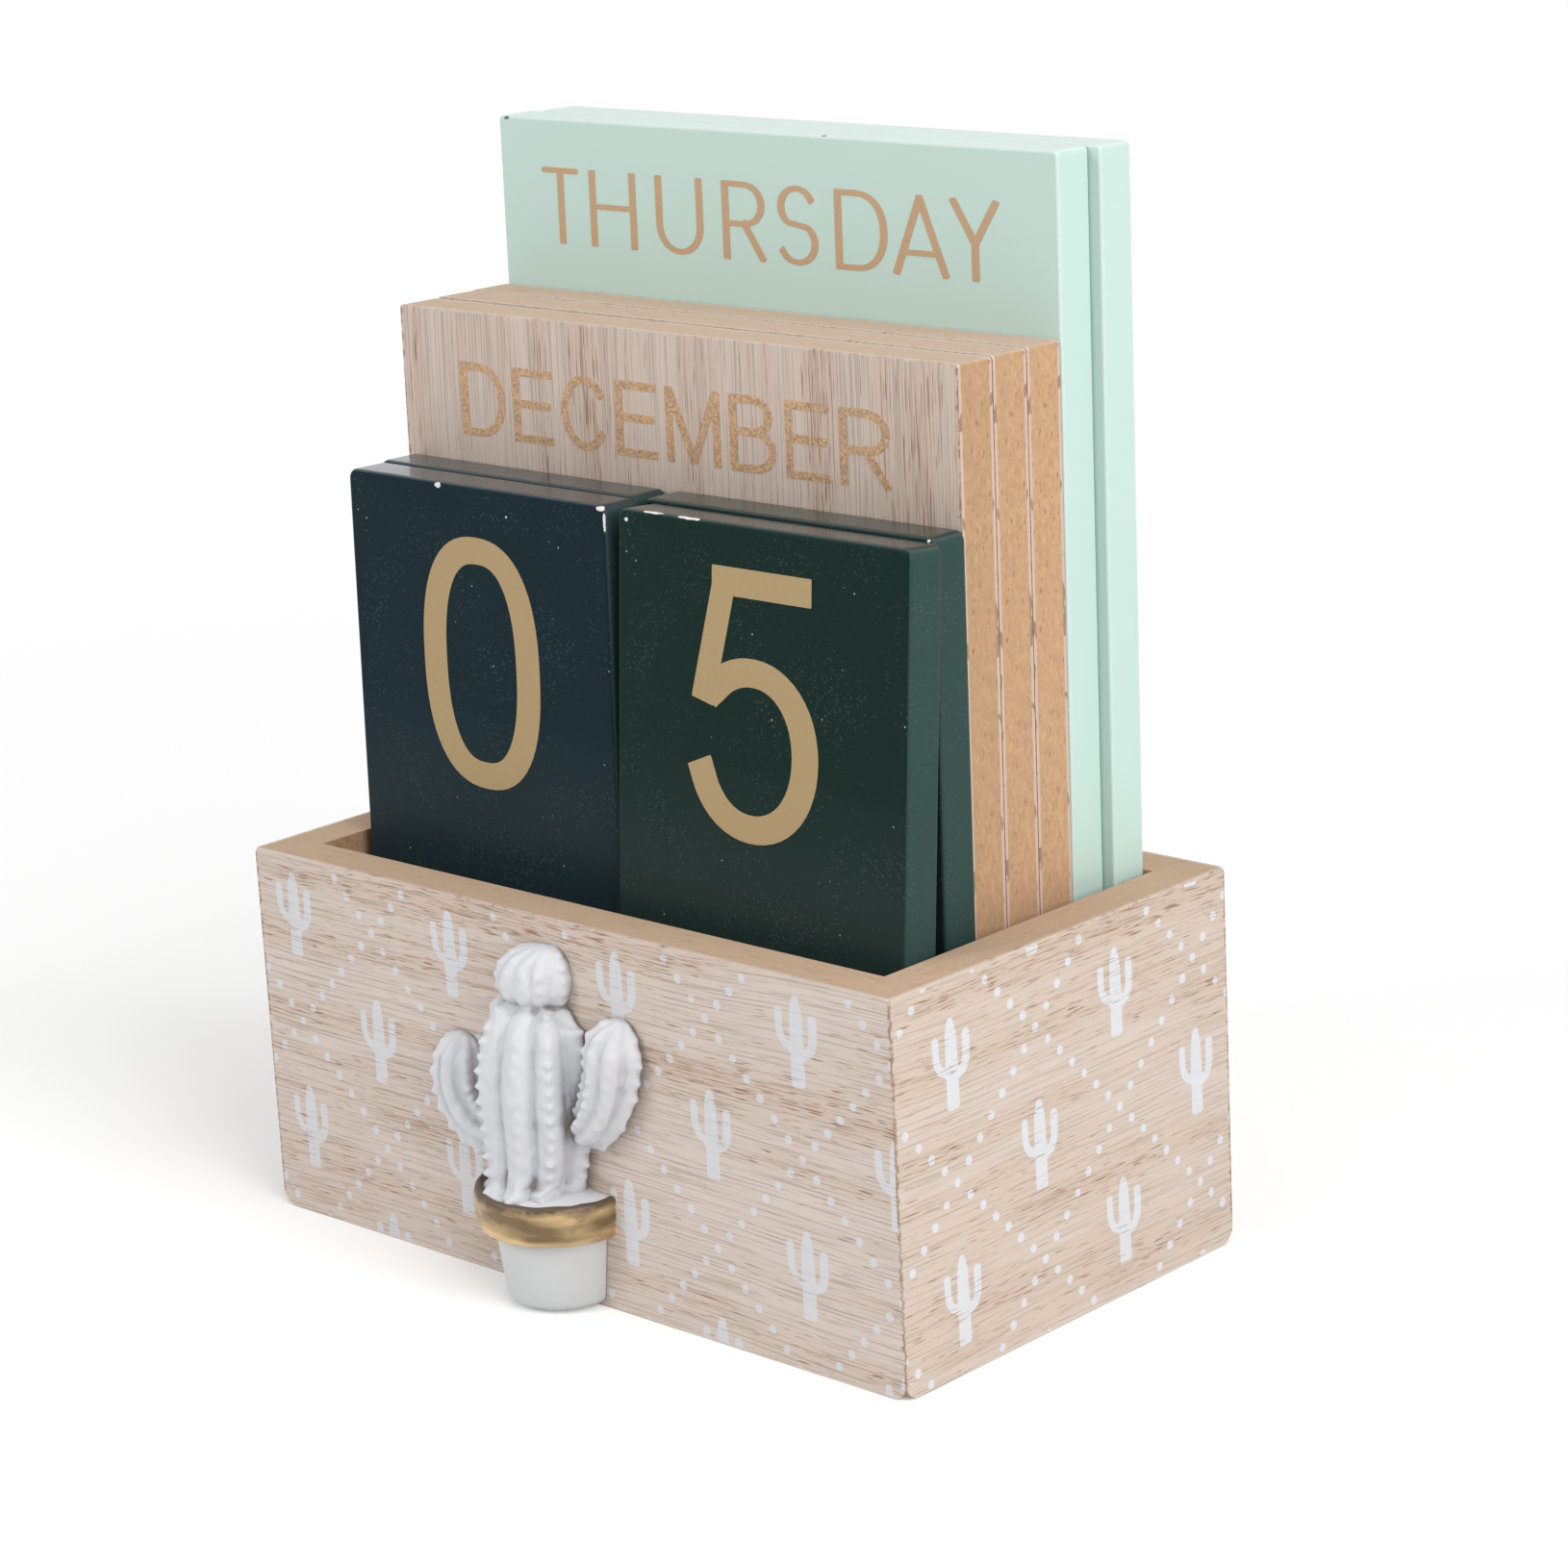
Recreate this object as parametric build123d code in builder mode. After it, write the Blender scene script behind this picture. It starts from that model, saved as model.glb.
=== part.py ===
from build123d import *
import os
from dataclasses import dataclass
from math import atan2, cos, degrees, radians, sin, tan

# A perpetual desk calendar: an open wooden tray in which nine loose boards stand on edge, one
# behind the other. The boards carry the digits of the date, the months and the weekdays, and each
# one lifts out by itself.
# Frame: +X to the right, +Y to the back, +Z up, origin at the middle of the tray's underside, mm.

# Boards: date tiles in two rows of two, then the months, then the weekdays at the back.
tile_height = 96.0
tile_thickness = 6.0
tile_corner_radius = 1.4
tile_edge_radius = 0.6
month_height = 116.0
month_core_thickness = 5.3
month_veneer_thickness = 0.5
month_corner_radius = 0.5
month_count = 3
weekday_height = 139.0
weekday_thickness = 6.0
weekday_corner_radius = 0.8
weekday_edge_radius = 0.4
wide_board_width = 98.6  # months and weekdays

# Room around the boards inside the tray.
side_play = 3.4  # beside a month or weekday board
depth_play = 9.1  # left over when all boards are pushed to the back
front_tile_left_gap = 1.7
front_tile_middle_gap = 2.0
front_tile_right_gap = 0.7
rear_tile_left_gap = 1.0
rear_tile_middle_gap = 0.9
month_left_gap = 0.2
front_weekday_left_gap = 0.4
rear_weekday_right_gap = 1.3
foot_gap = 0.6  # from the front wall to the foot of the tile that stands furthest forward
touch_gap = 0.15  # between two boards where they lean against each other
seat_gap = 0.02  # under a board's lower back edge

# How far each board leans back, and how far it is turned seen from above, in degrees.
stack_lean = 0.93  # every board but the two front tiles lies flat against the one behind it
left_front_tile_lean = 1.4
left_rear_tile_turn = -0.2
right_rear_tile_turn = 0.4
right_front_tile_turn = 0.5
month_turns = (0.3, 0.0, 0.0)  # front to back

# Tray: four mitred walls and a bottom of the same board, veneered on the outside.
tray_height = 51.5
panel_thickness = 6.0
bottom_thickness = 6.0
wall_veneer_thickness = 0.5
foot_corner_radius = 2.5  # sanded lower corners of each wall
rim_corner_radius = 0.8  # sanded upper corners of each wall

# Sizes that follow.
month_thickness = month_core_thickness + 2 * month_veneer_thickness
stack_thickness = 2 * tile_thickness + month_count * month_thickness + 2 * weekday_thickness
inner_width = wide_board_width + side_play
inner_depth = stack_thickness + depth_play
wall_thickness = panel_thickness + wall_veneer_thickness
tray_width = inner_width + 2 * wall_thickness
tray_depth = inner_depth + 2 * wall_thickness
front_tile_play = front_tile_left_gap + front_tile_middle_gap + front_tile_right_gap
tile_width = (inner_width - front_tile_play) / 2

# Cast cactus in a pot, glued on the front. Half widths are measured along the wall, depths from it.
pot_x = -1.8
pot_foot_z = 0.5
pot_height = 10.2
pot_foot_half_width = 7.8
pot_foot_depth = 7.7
pot_neck_half_width = 8.8
pot_neck_depth = 8.7
pot_rim_height = 4.8
pot_rim_half_width = 10.7
pot_rim_depth = 11.0
pot_rim_edge_radius = 1.0
soil_drop = 0.8
soil_margin = 1.5
body_foot = (-2.7, 14.0)  # x and z of a limb's foot, on its own middle line
body_tip = (-2.9, 40.6)
body_radius = 8.6
body_foot_share = 0.84  # a limb's radius at its foot, as a share of its largest
head_foot = (-1.9, 38.4)
head_tip = (-1.9, 47.4)
head_radius = 5.3
head_foot_share = 0.85
right_arm_foot = (6.6, 24.2)
right_arm_tip = (12.1, 40.0)
right_arm_foot_share = 0.6
left_arm_foot = (-18.0, 19.6)
left_arm_tip = (-17.4, 32.6)
left_arm_foot_share = 0.75
arm_radius = 4.4
left_root_foot = (-6.0, 21.0)  # the short stem that joins the left arm to the body
left_root_tip = (-20.2, 21.6)
root_radius = 3.6
root_foot_share = 0.9
limb_shoulder = (0.9, 0.86)  # where a limb starts to round over, as shares of its radius and length
limb_crown = (0.6, 0.96)
rib_height = 0.4
body_rib_half_thickness = 0.9
arm_rib_half_thickness = 0.6
body_rib_angles = (18, 54, 90, 126, 162)
arm_rib_angles = (25, 90, 155)

os.makedirs("parts", exist_ok=True)


@dataclass
class Board:
    """A loose board on edge: its size, where its foot stands and how it leans."""

    x: float
    width: float
    height: float
    thickness: float
    lean: float
    turn: float = 0.0
    back: float = 0.0  # y of the back face at the middle of the foot

    def back_at(self, x, height):
        return self.back + (x - self.x) * tan(radians(self.turn)) + height * tan(radians(self.lean))

    def front_at(self, x, height):
        return self.back_at(x, height) - self.thickness / cos(radians(self.lean))

    def ends(self):
        return self.x - self.width / 2, self.x + self.width / 2

    def stand_against(self, behind):
        """Moves the board back until its foot or its top meets the board behind it."""
        heights = 0, min(self.height, behind.height)
        room = [behind.front_at(x, h) - self.back_at(x, h) for x in self.ends() for h in heights]
        self.back += min(room) - touch_gap

    def lean_against(self, behind, foot):
        """Puts the back face's foot at `foot` and tips the board until it meets the one behind."""
        self.back = foot
        self.lean = 0.0
        room = [behind.front_at(x, self.height) - self.back_at(x, 0) for x in self.ends()]
        self.lean = degrees(atan2(min(room) - touch_gap, self.height))

    def face(self, depth=0.0):
        """The plane `depth` in front of the back face, x along the foot, y up the board."""
        lean, turn = radians(self.lean), radians(self.turn)
        along = Vector(cos(turn), sin(turn), 0)
        up = Vector(-sin(turn) * sin(lean), cos(turn) * sin(lean), cos(lean))
        forward = along.cross(up)
        foot = Vector(self.x, self.back, bottom_thickness + seat_gap)
        return Plane(origin=foot + forward * depth, x_dir=along, z_dir=forward)


def x_from_left(gap, width):
    return -inner_width / 2 + gap + width / 2


def x_from_right(gap, width):
    return inner_width / 2 - gap - width / 2


# The boards, placed from the back wall forwards, each one against the board behind it.
rear_weekday = Board(
    x_from_right(rear_weekday_right_gap, wide_board_width),
    wide_board_width,
    weekday_height,
    weekday_thickness,
    stack_lean,
)
rim_over_foot = tray_height - bottom_thickness
rear_weekday.back = inner_depth / 2 - touch_gap - rear_weekday.back_at(rear_weekday.x, rim_over_foot)

front_weekday = Board(
    x_from_left(front_weekday_left_gap, wide_board_width),
    wide_board_width,
    weekday_height,
    weekday_thickness,
    stack_lean,
)
front_weekday.stand_against(rear_weekday)

months = []
behind_month = front_weekday
for month_turn in reversed(month_turns):
    month = Board(
        x_from_left(month_left_gap, wide_board_width),
        wide_board_width,
        month_height,
        month_thickness,
        stack_lean,
        month_turn,
    )
    month.stand_against(behind_month)
    months.insert(0, month)
    behind_month = month

left_rear_tile = Board(
    x_from_left(rear_tile_left_gap, tile_width),
    tile_width,
    tile_height,
    tile_thickness,
    stack_lean,
    left_rear_tile_turn,
)
left_rear_tile.stand_against(months[0])
right_rear_tile = Board(
    x_from_left(rear_tile_left_gap + tile_width + rear_tile_middle_gap, tile_width),
    tile_width,
    tile_height,
    tile_thickness,
    stack_lean,
    right_rear_tile_turn,
)
right_rear_tile.stand_against(months[0])
left_front_tile = Board(
    x_from_left(front_tile_left_gap, tile_width),
    tile_width,
    tile_height,
    tile_thickness,
    left_front_tile_lean,
)
left_front_tile.stand_against(left_rear_tile)
right_front_tile = Board(
    x_from_right(front_tile_right_gap, tile_width),
    tile_width,
    tile_height,
    tile_thickness,
    0.0,
    right_front_tile_turn,
)
right_front_tile.lean_against(right_rear_tile, -inner_depth / 2 + foot_gap + tile_thickness)


# ---- Tray ----


def wall_layer(plan, span, full_span, reach, thickness):
    """One mitred layer of a wall. The plan's x runs along the wall and its -y points outwards."""
    elevation = Plane(origin=plan.origin, x_dir=plan.x_dir, z_dir=-plan.y_dir)
    with BuildPart() as layer:
        with BuildSketch(plan):
            with BuildLine():
                Polyline(
                    (-span / 2, -reach),
                    (span / 2, -reach),
                    (span / 2 - thickness, thickness - reach),
                    (thickness - span / 2, thickness - reach),
                    close=True,
                )
            make_face()
        extrude(amount=tray_height)
        with BuildSketch(elevation) as outline:
            with Locations((0, tray_height / 2)):
                Rectangle(full_span, tray_height)
            fillet(outline.vertices().group_by(Axis.Y)[0], foot_corner_radius)
            fillet(outline.vertices().group_by(Axis.Y)[-1], rim_corner_radius)
        extrude(amount=reach + thickness, mode=Mode.INTERSECT)
    return layer


walls = {
    "front": ((1, 0, 0), tray_width, tray_depth / 2),
    "right": ((0, 1, 0), tray_depth, tray_width / 2),
    "back": ((-1, 0, 0), tray_width, tray_depth / 2),
    "left": ((0, -1, 0), tray_depth, tray_width / 2),
}
for side, (along, span, reach) in walls.items():
    plan = Plane(origin=(0, 0, 0), x_dir=along, z_dir=(0, 0, 1))
    core_span = span - 2 * wall_veneer_thickness
    core_reach = reach - wall_veneer_thickness

    panel = wall_layer(plan, core_span, span, core_reach, panel_thickness)
    panel.part.label = f"{side}_panel"
    export_step(panel.part, f"parts/{side}_panel.step")

    veneer = wall_layer(plan, span, span, reach, wall_veneer_thickness)
    veneer.part.label = f"{side}_veneer"
    export_step(veneer.part, f"parts/{side}_veneer.step")

with BuildPart() as bottom_panel:
    with BuildSketch():
        Rectangle(inner_width, inner_depth)
    extrude(amount=bottom_thickness)
bottom_panel.part.label = "bottom_panel"
export_step(bottom_panel.part, "parts/bottom_panel.step")


# ---- Cast ornament ----


def limb(foot, tip, radius, foot_share, rib_angles=(), rib_half_thickness=0.0):
    """Adds one limb of the cactus: a rounded core, and ribs that stand out of it in a fan."""
    foot_point = Vector(foot[0], -tray_depth / 2, foot[1])
    tip_point = Vector(tip[0], -tray_depth / 2, tip[1])
    upwards = (tip_point - foot_point).normalized()
    forwards = Vector(0, -1, 0)
    sideways = forwards.cross(upwards)
    height = (tip_point - foot_point).length

    def half_section(angle, grow):
        outwards = sideways * cos(radians(angle)) + forwards * sin(radians(angle))
        wide, tall = radius + grow, height + grow
        shoulder = (limb_shoulder[0] * wide, limb_shoulder[1] * tall)
        crown = (limb_crown[0] * wide, limb_crown[1] * tall)
        with BuildSketch(Plane(foot_point, x_dir=outwards, z_dir=outwards.cross(upwards))) as half:
            with BuildLine():
                Line((0, 0), (foot_share * wide, 0))
                ThreePointArc((foot_share * wide, 0), (wide, tall / 2), shoulder)
                ThreePointArc(shoulder, crown, (0, tall))
                Line((0, tall), (0, 0))
            make_face()
        return half.sketch

    revolve(half_section(90, 0), axis=Axis(foot_point, upwards))
    for angle in rib_angles:
        extrude(half_section(angle, rib_height), amount=rib_half_thickness, both=True)


with BuildPart() as cactus_ornament:
    with BuildSketch(Plane.XY.offset(pot_foot_z)):
        with Locations((pot_x, -tray_depth / 2)):
            Ellipse(pot_foot_half_width, pot_foot_depth)
    with BuildSketch(Plane.XY.offset(pot_foot_z + pot_height)):
        with Locations((pot_x, -tray_depth / 2)):
            Ellipse(pot_neck_half_width, pot_neck_depth)
    loft()
    with BuildSketch(Plane.XY.offset(pot_foot_z + pot_height)):
        with Locations((pot_x, -tray_depth / 2)):
            Ellipse(pot_rim_half_width, pot_rim_depth)
    pot_rim = extrude(amount=pot_rim_height)
    fillet(pot_rim.edges().group_by(Axis.Z)[-1], pot_rim_edge_radius)
    with BuildSketch(Plane.XY.offset(pot_foot_z + pot_height + pot_rim_height)):
        with Locations((pot_x, -tray_depth / 2)):
            Ellipse(pot_rim_half_width - soil_margin, pot_rim_depth - soil_margin)
    extrude(amount=-soil_drop, mode=Mode.SUBTRACT)

    trunk_ribs = body_rib_angles, body_rib_half_thickness
    limb(body_foot, body_tip, body_radius, body_foot_share, *trunk_ribs)
    limb(head_foot, head_tip, head_radius, head_foot_share, *trunk_ribs)
    arm_ribs = arm_rib_angles, arm_rib_half_thickness
    limb(right_arm_foot, right_arm_tip, arm_radius, right_arm_foot_share, *arm_ribs)
    limb(left_arm_foot, left_arm_tip, arm_radius, left_arm_foot_share, *arm_ribs)
    limb(left_root_foot, left_root_tip, root_radius, root_foot_share)
    split(bisect_by=Plane.XZ.offset(tray_depth / 2), keep=Keep.TOP)
cactus_ornament.part.label = "cactus_ornament"
export_step(cactus_ornament.part, "parts/cactus_ornament.step")


# ---- Boards ----


def board_slab(board, depth, thickness, corner_radius, edge_radius=0.0):
    """A slab of a board, from `depth` in front of its back face, with eased edges if asked."""
    with BuildPart() as slab:
        with BuildSketch(board.face(depth)):
            with Locations((0, board.height / 2)):
                RectangleRounded(board.width, board.height, corner_radius)
        extrude(amount=thickness)
        if edge_radius:
            faces = slab.faces().sort_by(Axis(board.face().origin, board.face().z_dir))
            fillet(faces[0].edges() + faces[-1].edges(), edge_radius)
    return slab


tiles = {
    "date_tile_front_left": left_front_tile,
    "date_tile_front_right": right_front_tile,
    "date_tile_rear_left": left_rear_tile,
    "date_tile_rear_right": right_rear_tile,
}
for name, board in tiles.items():
    tile = board_slab(board, 0.0, tile_thickness, tile_corner_radius, tile_edge_radius)
    tile.part.label = name
    export_step(tile.part, f"parts/{name}.step")

month_layers = {
    "back_veneer": (0.0, month_veneer_thickness),
    "core": (month_veneer_thickness, month_core_thickness),
    "front_veneer": (month_veneer_thickness + month_core_thickness, month_veneer_thickness),
}
for number, board in enumerate(months, start=1):
    for layer_name, (depth, thickness) in month_layers.items():
        name = f"month_board_{number}_{layer_name}"
        layer = board_slab(board, depth, thickness, month_corner_radius)
        layer.part.label = name
        export_step(layer.part, f"parts/{name}.step")

for number, board in enumerate((front_weekday, rear_weekday), start=1):
    name = f"weekday_board_{number}"
    weekday = board_slab(board, 0.0, weekday_thickness, weekday_corner_radius, weekday_edge_radius)
    weekday.part.label = name
    export_step(weekday.part, f"parts/{name}.step")
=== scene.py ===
"""Dresses the packed perpetual desk calendar: wood, paints, gold foils, white print and the resin cactus."""

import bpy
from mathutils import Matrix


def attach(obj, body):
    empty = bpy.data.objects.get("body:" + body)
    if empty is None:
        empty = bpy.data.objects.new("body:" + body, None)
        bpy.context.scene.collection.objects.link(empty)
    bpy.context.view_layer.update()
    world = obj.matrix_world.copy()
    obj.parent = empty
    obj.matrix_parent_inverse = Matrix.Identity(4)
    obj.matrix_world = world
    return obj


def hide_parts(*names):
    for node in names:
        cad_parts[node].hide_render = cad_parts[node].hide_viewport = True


bl_info = {
    "name": "Perpetual desk calendar",
    "version": (1, 0, 0),
    "blender": (4, 5, 0),
    "location": "3D View > Sidebar > Desk calendar",
    "description": "Dresses the packed desk calendar and sets it on a pale floor under soft studio light",
    "category": "Object",
}

import math

import bmesh
import bpy
from mathutils import Matrix, Vector, geometry, noise
from mathutils.bvhtree import BVHTree

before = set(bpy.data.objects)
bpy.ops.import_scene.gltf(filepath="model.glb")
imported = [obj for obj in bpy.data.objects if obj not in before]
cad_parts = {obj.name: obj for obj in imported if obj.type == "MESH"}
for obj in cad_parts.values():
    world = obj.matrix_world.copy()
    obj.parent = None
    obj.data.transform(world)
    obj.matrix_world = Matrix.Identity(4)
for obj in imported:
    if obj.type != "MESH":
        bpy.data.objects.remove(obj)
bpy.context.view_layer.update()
MM = 0.001

FRONT, BACK = Vector((0, -1, 0)), Vector((0, 1, 0))
RIGHT, LEFT = Vector((1, 0, 0)), Vector((-1, 0, 0))
WALLS = {"front": FRONT, "right": RIGHT, "back": BACK, "left": LEFT}
TILES = {
    # Per board: two digits of its front and two of its back, the second of each upside down at the foot.
    "date_tile_front_left": (("0", "1"), ("2", "3")),
    "date_tile_rear_left": (("1", "2"), ("0", "3")),
    "date_tile_front_right": (("5", "6"), ("7", "8")),
    "date_tile_rear_right": (("9", "4"), ("3", "0")),
}
MONTHS = {
    "month_board_1": (("DECEMBER", "NOVEMBER"), ("JANUARY", "FEBRUARY")),
    "month_board_2": (("MARCH", "APRIL"), ("MAY", "JUNE")),
    "month_board_3": (("JULY", "AUGUST"), ("SEPTEMBER", "OCTOBER")),
}
WEEKDAYS = {
    "weekday_board_1": (("THURSDAY", "FRIDAY"), ("SATURDAY", "SUNDAY")),
    "weekday_board_2": (("MONDAY", "TUESDAY"), ("WEDNESDAY", "")),
}


def linear(code):
    """An sRGB hex colour as linear red, green and blue."""
    parts = [int(code[i : i + 2], 16) / 255 for i in (1, 3, 5)]
    return tuple(p / 12.92 if p <= 0.04045 else ((p + 0.055) / 1.055) ** 2.4 for p in parts)


# -------------------------------------------------------------------------------- settings


def colour(name, description, code):
    """A colour setting, written as sRGB hex."""
    return bpy.props.FloatVectorProperty(
        name=name, description=description, subtype="COLOR", size=3, min=0, max=1, default=linear(code)
    )


def length(name, description, millimetres):
    """A length setting, in metres like the scene, written in millimetres."""
    return bpy.props.FloatProperty(
        name=name, description=description, unit="LENGTH", min=0, default=millimetres * MM, precision=5
    )


def degrees(name, description, value):
    """An angle setting, written in degrees."""
    return bpy.props.FloatProperty(
        name=name, description=description, subtype="ANGLE", default=math.radians(value)
    )


def watts(name, description, value):
    """The power of a lamp."""
    return bpy.props.FloatProperty(name=name, description=description, unit="POWER", min=0, default=value)


class CalendarFinishes(bpy.types.PropertyGroup):
    """Colours of the boards and the tray."""

    board: colour("Bare board", "Sawn edge of medium density fibreboard", "#C8A27E")
    board_dark: colour("Bare board, dark fibres", "Dark fibres and dust in the sawn edge", "#8E6440")
    board_top: colour("Bare board, top edge", "Sanded top edge of the month boards", "#D8BFA9")
    tray_top: colour("Bare board, tray rim", "Sanded rim of the tray", "#D8BA9E")
    tray_veneer: colour("Tray veneer", "Lime washed veneer on the front and back of the tray", "#DED1C8")
    end_veneer: colour("End veneer", "Lime washed veneer on the ends of the tray", "#D8C9BD")
    tray_streak: colour("Tray veneer, streaks", "Fine streaks of the tray veneer", "#B09A86")
    end_streak: colour("End veneer, streaks", "Fine streaks of the end veneer", "#B8A491")
    tray_pore: colour("Tray veneer, pores", "Open brown pores of the tray veneer", "#96745A")
    month_veneer: colour("Month veneer", "Lime washed veneer on the month boards", "#D8C7BB")
    month_streak: colour("Month veneer, streaks", "Fine streaks of the month veneer", "#9E897C")
    month_pore: colour("Month veneer, pores", "Open brown pores of the month veneer", "#8F705A")
    lip: colour("Veneer lip", "Thin broken veneer along the top edges", "#DCC9BB")
    teal: colour("Teal paint", "Paint of the left date tiles", "#0A262E")
    green: colour("Green paint", "Paint of the right date tiles", "#0F2A25")
    mint: colour("Mint paint", "Paint of the weekday boards", "#C7E0D8")
    chip: colour("Chipped edge", "Primer and board where paint has come off", "#E8E4E2")
    mint_chip: colour("Chipped mint", "Dark spots where the mint paint has come off", "#5C6B66")
    # The dust colour is painted light: sprayed_tile lays it as a pale haze that grows towards the tray rim, a
    # painted reflection of the lit rim on the date tiles.
    dust: colour("Dust", "Pale dust that gathers on the dark paint above the tray", "#8C9294")


class CalendarLettering(bpy.types.PropertyGroup):
    """Sizes and colours of the gold lettering."""

    foil: length("Foil thickness", "How far the gold stands off its board", 0.05)
    weekday_cap: length("Weekday cap height", "Height of the weekday capitals", 10.3)
    weekday_top: length("Weekday top margin", "From the top of a weekday board to its capitals", 6.6)
    weekday_stem: length("Weekday stem", "Width of an upright stroke of the weekdays", 1.25)
    weekday_bar: length("Weekday bar", "Width of a level stroke of the weekdays", 0.75)
    month_cap: length("Month cap height", "Height of the month capitals", 9.85)
    month_top: length("Month top margin", "From the top of a month board to its capitals", 6.8)
    month_stem: length("Month stem", "Width of an upright stroke of the months", 1.3)
    month_bar: length("Month bar", "Width of a level stroke of the months", 1.05)
    digit_height: length("Digit height", "Height of a date digit", 34.3)
    digit_width: length("Digit width", "Width of a date digit", 22.0)
    digit_top: length("Digit top margin", "From the top of a date tile to its digit", 6.2)
    digit_stem: length("Digit stem", "Width of an upright stroke of the digits", 4.35)
    digit_bar: length("Digit bar", "Width of a level stroke of the digits", 3.6)
    weekday_gold: colour("Weekday foil", "Rose gold of the weekdays", "#C1A17F")
    month_gold: colour("Month foil", "Warm gold of the months", "#C29D76")
    digit_gold: colour("Digit foil", "Pale gold of the digits", "#AF966B")


class CalendarPrint(bpy.types.PropertyGroup):
    """The white print on the tray."""

    film: length("Film thickness", "How far the white print stands off the veneer", 0.02)
    pitch: length("Pitch across", "From one printed plant to the next in its row", 30.8)
    rise: length("Row spacing", "From one row of plants to the next", 15.2)
    plant: length("Plant height", "Height of one printed plant", 11.8)
    dot: length("Dot", "Diameter of a printed dot", 1.2)
    steps: bpy.props.IntProperty(
        name="Dots", description="Dots from one crossing to the next", min=2, default=7
    )
    white: colour("White ink", "Screen ink of the print", "#DEE0E5")


class CalendarCactus(bpy.types.PropertyGroup):
    """The cast cactus and its pot."""

    voxel: length("Grain of the cast", "Edge of the cells in which the limbs are joined", 0.2)
    tooth: length("Spine", "Height of a spine on a rib", 0.7)
    spacing: length("Spine spacing", "From one spine to the next", 1.95)
    resin: colour("Resin paint", "White paint of the cactus", "#DFE0E4")
    # The resin hollows grey is painted shade in the hollows of the cast; the next colour is partly dirt and
    # partly painted shade in the deepest hollows, and also colours the pinholes.
    hollow: colour("Resin hollows", "Grey in the hollows of the cast", "#ADAEB2")
    grime_and_shade: colour("Resin grime", "Dirt in the deepest hollows of the cast", "#807A74")
    pot: colour("Pot paint", "White paint of the pot", "#D8DADB")
    rim: colour("Rim gold", "Brushed gold paint of the rim", "#B39A74")
    rim_dark: colour("Rim gold, thin", "Where the gold paint is thin", "#5E4D3C")


class CalendarStage(bpy.types.PropertyGroup):
    """Camera, lamps and floor."""

    camera_at: bpy.props.FloatVectorProperty(
        name="Camera place", description="Where the camera stands", subtype="TRANSLATION", unit="LENGTH",
        size=3, default=(0.3846, -0.3909, 0.21385),
    )
    heading: degrees("Heading", "Camera turned from straight ahead", 43.687)
    dip: degrees("Dip", "Camera below level", 15.569)
    roll: degrees("Roll", "Camera turned about its own line of sight", -2.981)
    lens: bpy.props.FloatProperty(
        name="Lens", description="Focal length on a 36 mm sensor", unit="CAMERA", default=99.36, min=10
    )
    key: watts("Key", "Power of the large lamp at the right", 7.7)
    fill: watts("Fill", "Power of the lamp at the front left", 4.2)
    top: watts("Top", "Power of the lamp overhead", 1.6)
    sky: bpy.props.FloatProperty(
        name="Room light", description="Strength of the even light of the room", default=0.4, min=0
    )
    floor: colour("Floor", "Matt pale floor", "#F2F2F2")


GROUPS = {
    "calendar_finishes": CalendarFinishes,
    "calendar_lettering": CalendarLettering,
    "calendar_print": CalendarPrint,
    "calendar_cactus": CalendarCactus,
    "calendar_stage": CalendarStage,
}


# -------------------------------------------------------------------------------- flat shapes


def flat_face(names, facing):
    """The widest flat face of these nodes that looks the given way: its frame, from its lower left corner
    with across, up and out as axes, and the width, height and thickness of the nodes along those axes, in
    metres."""
    meshes = [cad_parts[name].data for name in names]
    found = [face for mesh in meshes for face in mesh.polygons if face.normal.dot(facing) > 0.5]
    if not found:
        raise RuntimeError(f"no flat face of {names} looks along {tuple(facing)}")
    out = max(found, key=lambda face: face.area).normal.copy()
    across = Vector((-out.y, out.x, 0)).normalized()
    up = out.cross(across)
    spans = []
    for axis in (across, up, out):
        along = [axis.dot(vertex.co) for mesh in meshes for vertex in mesh.vertices]
        spans.append((min(along), max(along)))
    corner = across * spans[0][0] + up * spans[1][0] + out * spans[2][1]
    turned = Matrix((across, up, out)).transposed().to_4x4()
    return Matrix.Translation(corner) @ turned, [high - low for low, high in spans]


def clipped(outline, width, height):
    """A convex outline cut off at the edges of a rectangle."""
    for axis, limit, way in ((0, 0, 1), (0, width, -1), (1, 0, 1), (1, height, -1)):
        kept = []
        for i, point in enumerate(outline):
            last = outline[i - 1]
            here, before = (point[axis] - limit) * way, (last[axis] - limit) * way
            if (here < 0) != (before < 0):
                share = before / (before - here)
                kept.append(tuple(b + (p - b) * share for b, p in zip(last, point)))
            if here >= 0:
                kept.append(point)
        outline = kept
        if len(outline) < 3:
            return []
    return outline


def arc(cx, cy, rx, ry, start, end, count, power=2.0):
    """Points along a round or slightly squared arc, from one angle in degrees to another."""
    points = []
    for i in range(count + 1):
        angle = math.radians(start + (end - start) * i / count)
        c, s = math.cos(angle), math.sin(angle)
        x, y = math.copysign(abs(c) ** (2 / power), c), math.copysign(abs(s) ** (2 / power), s)
        points.append((cx + rx * x, cy + ry * y))
    return points


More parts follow.
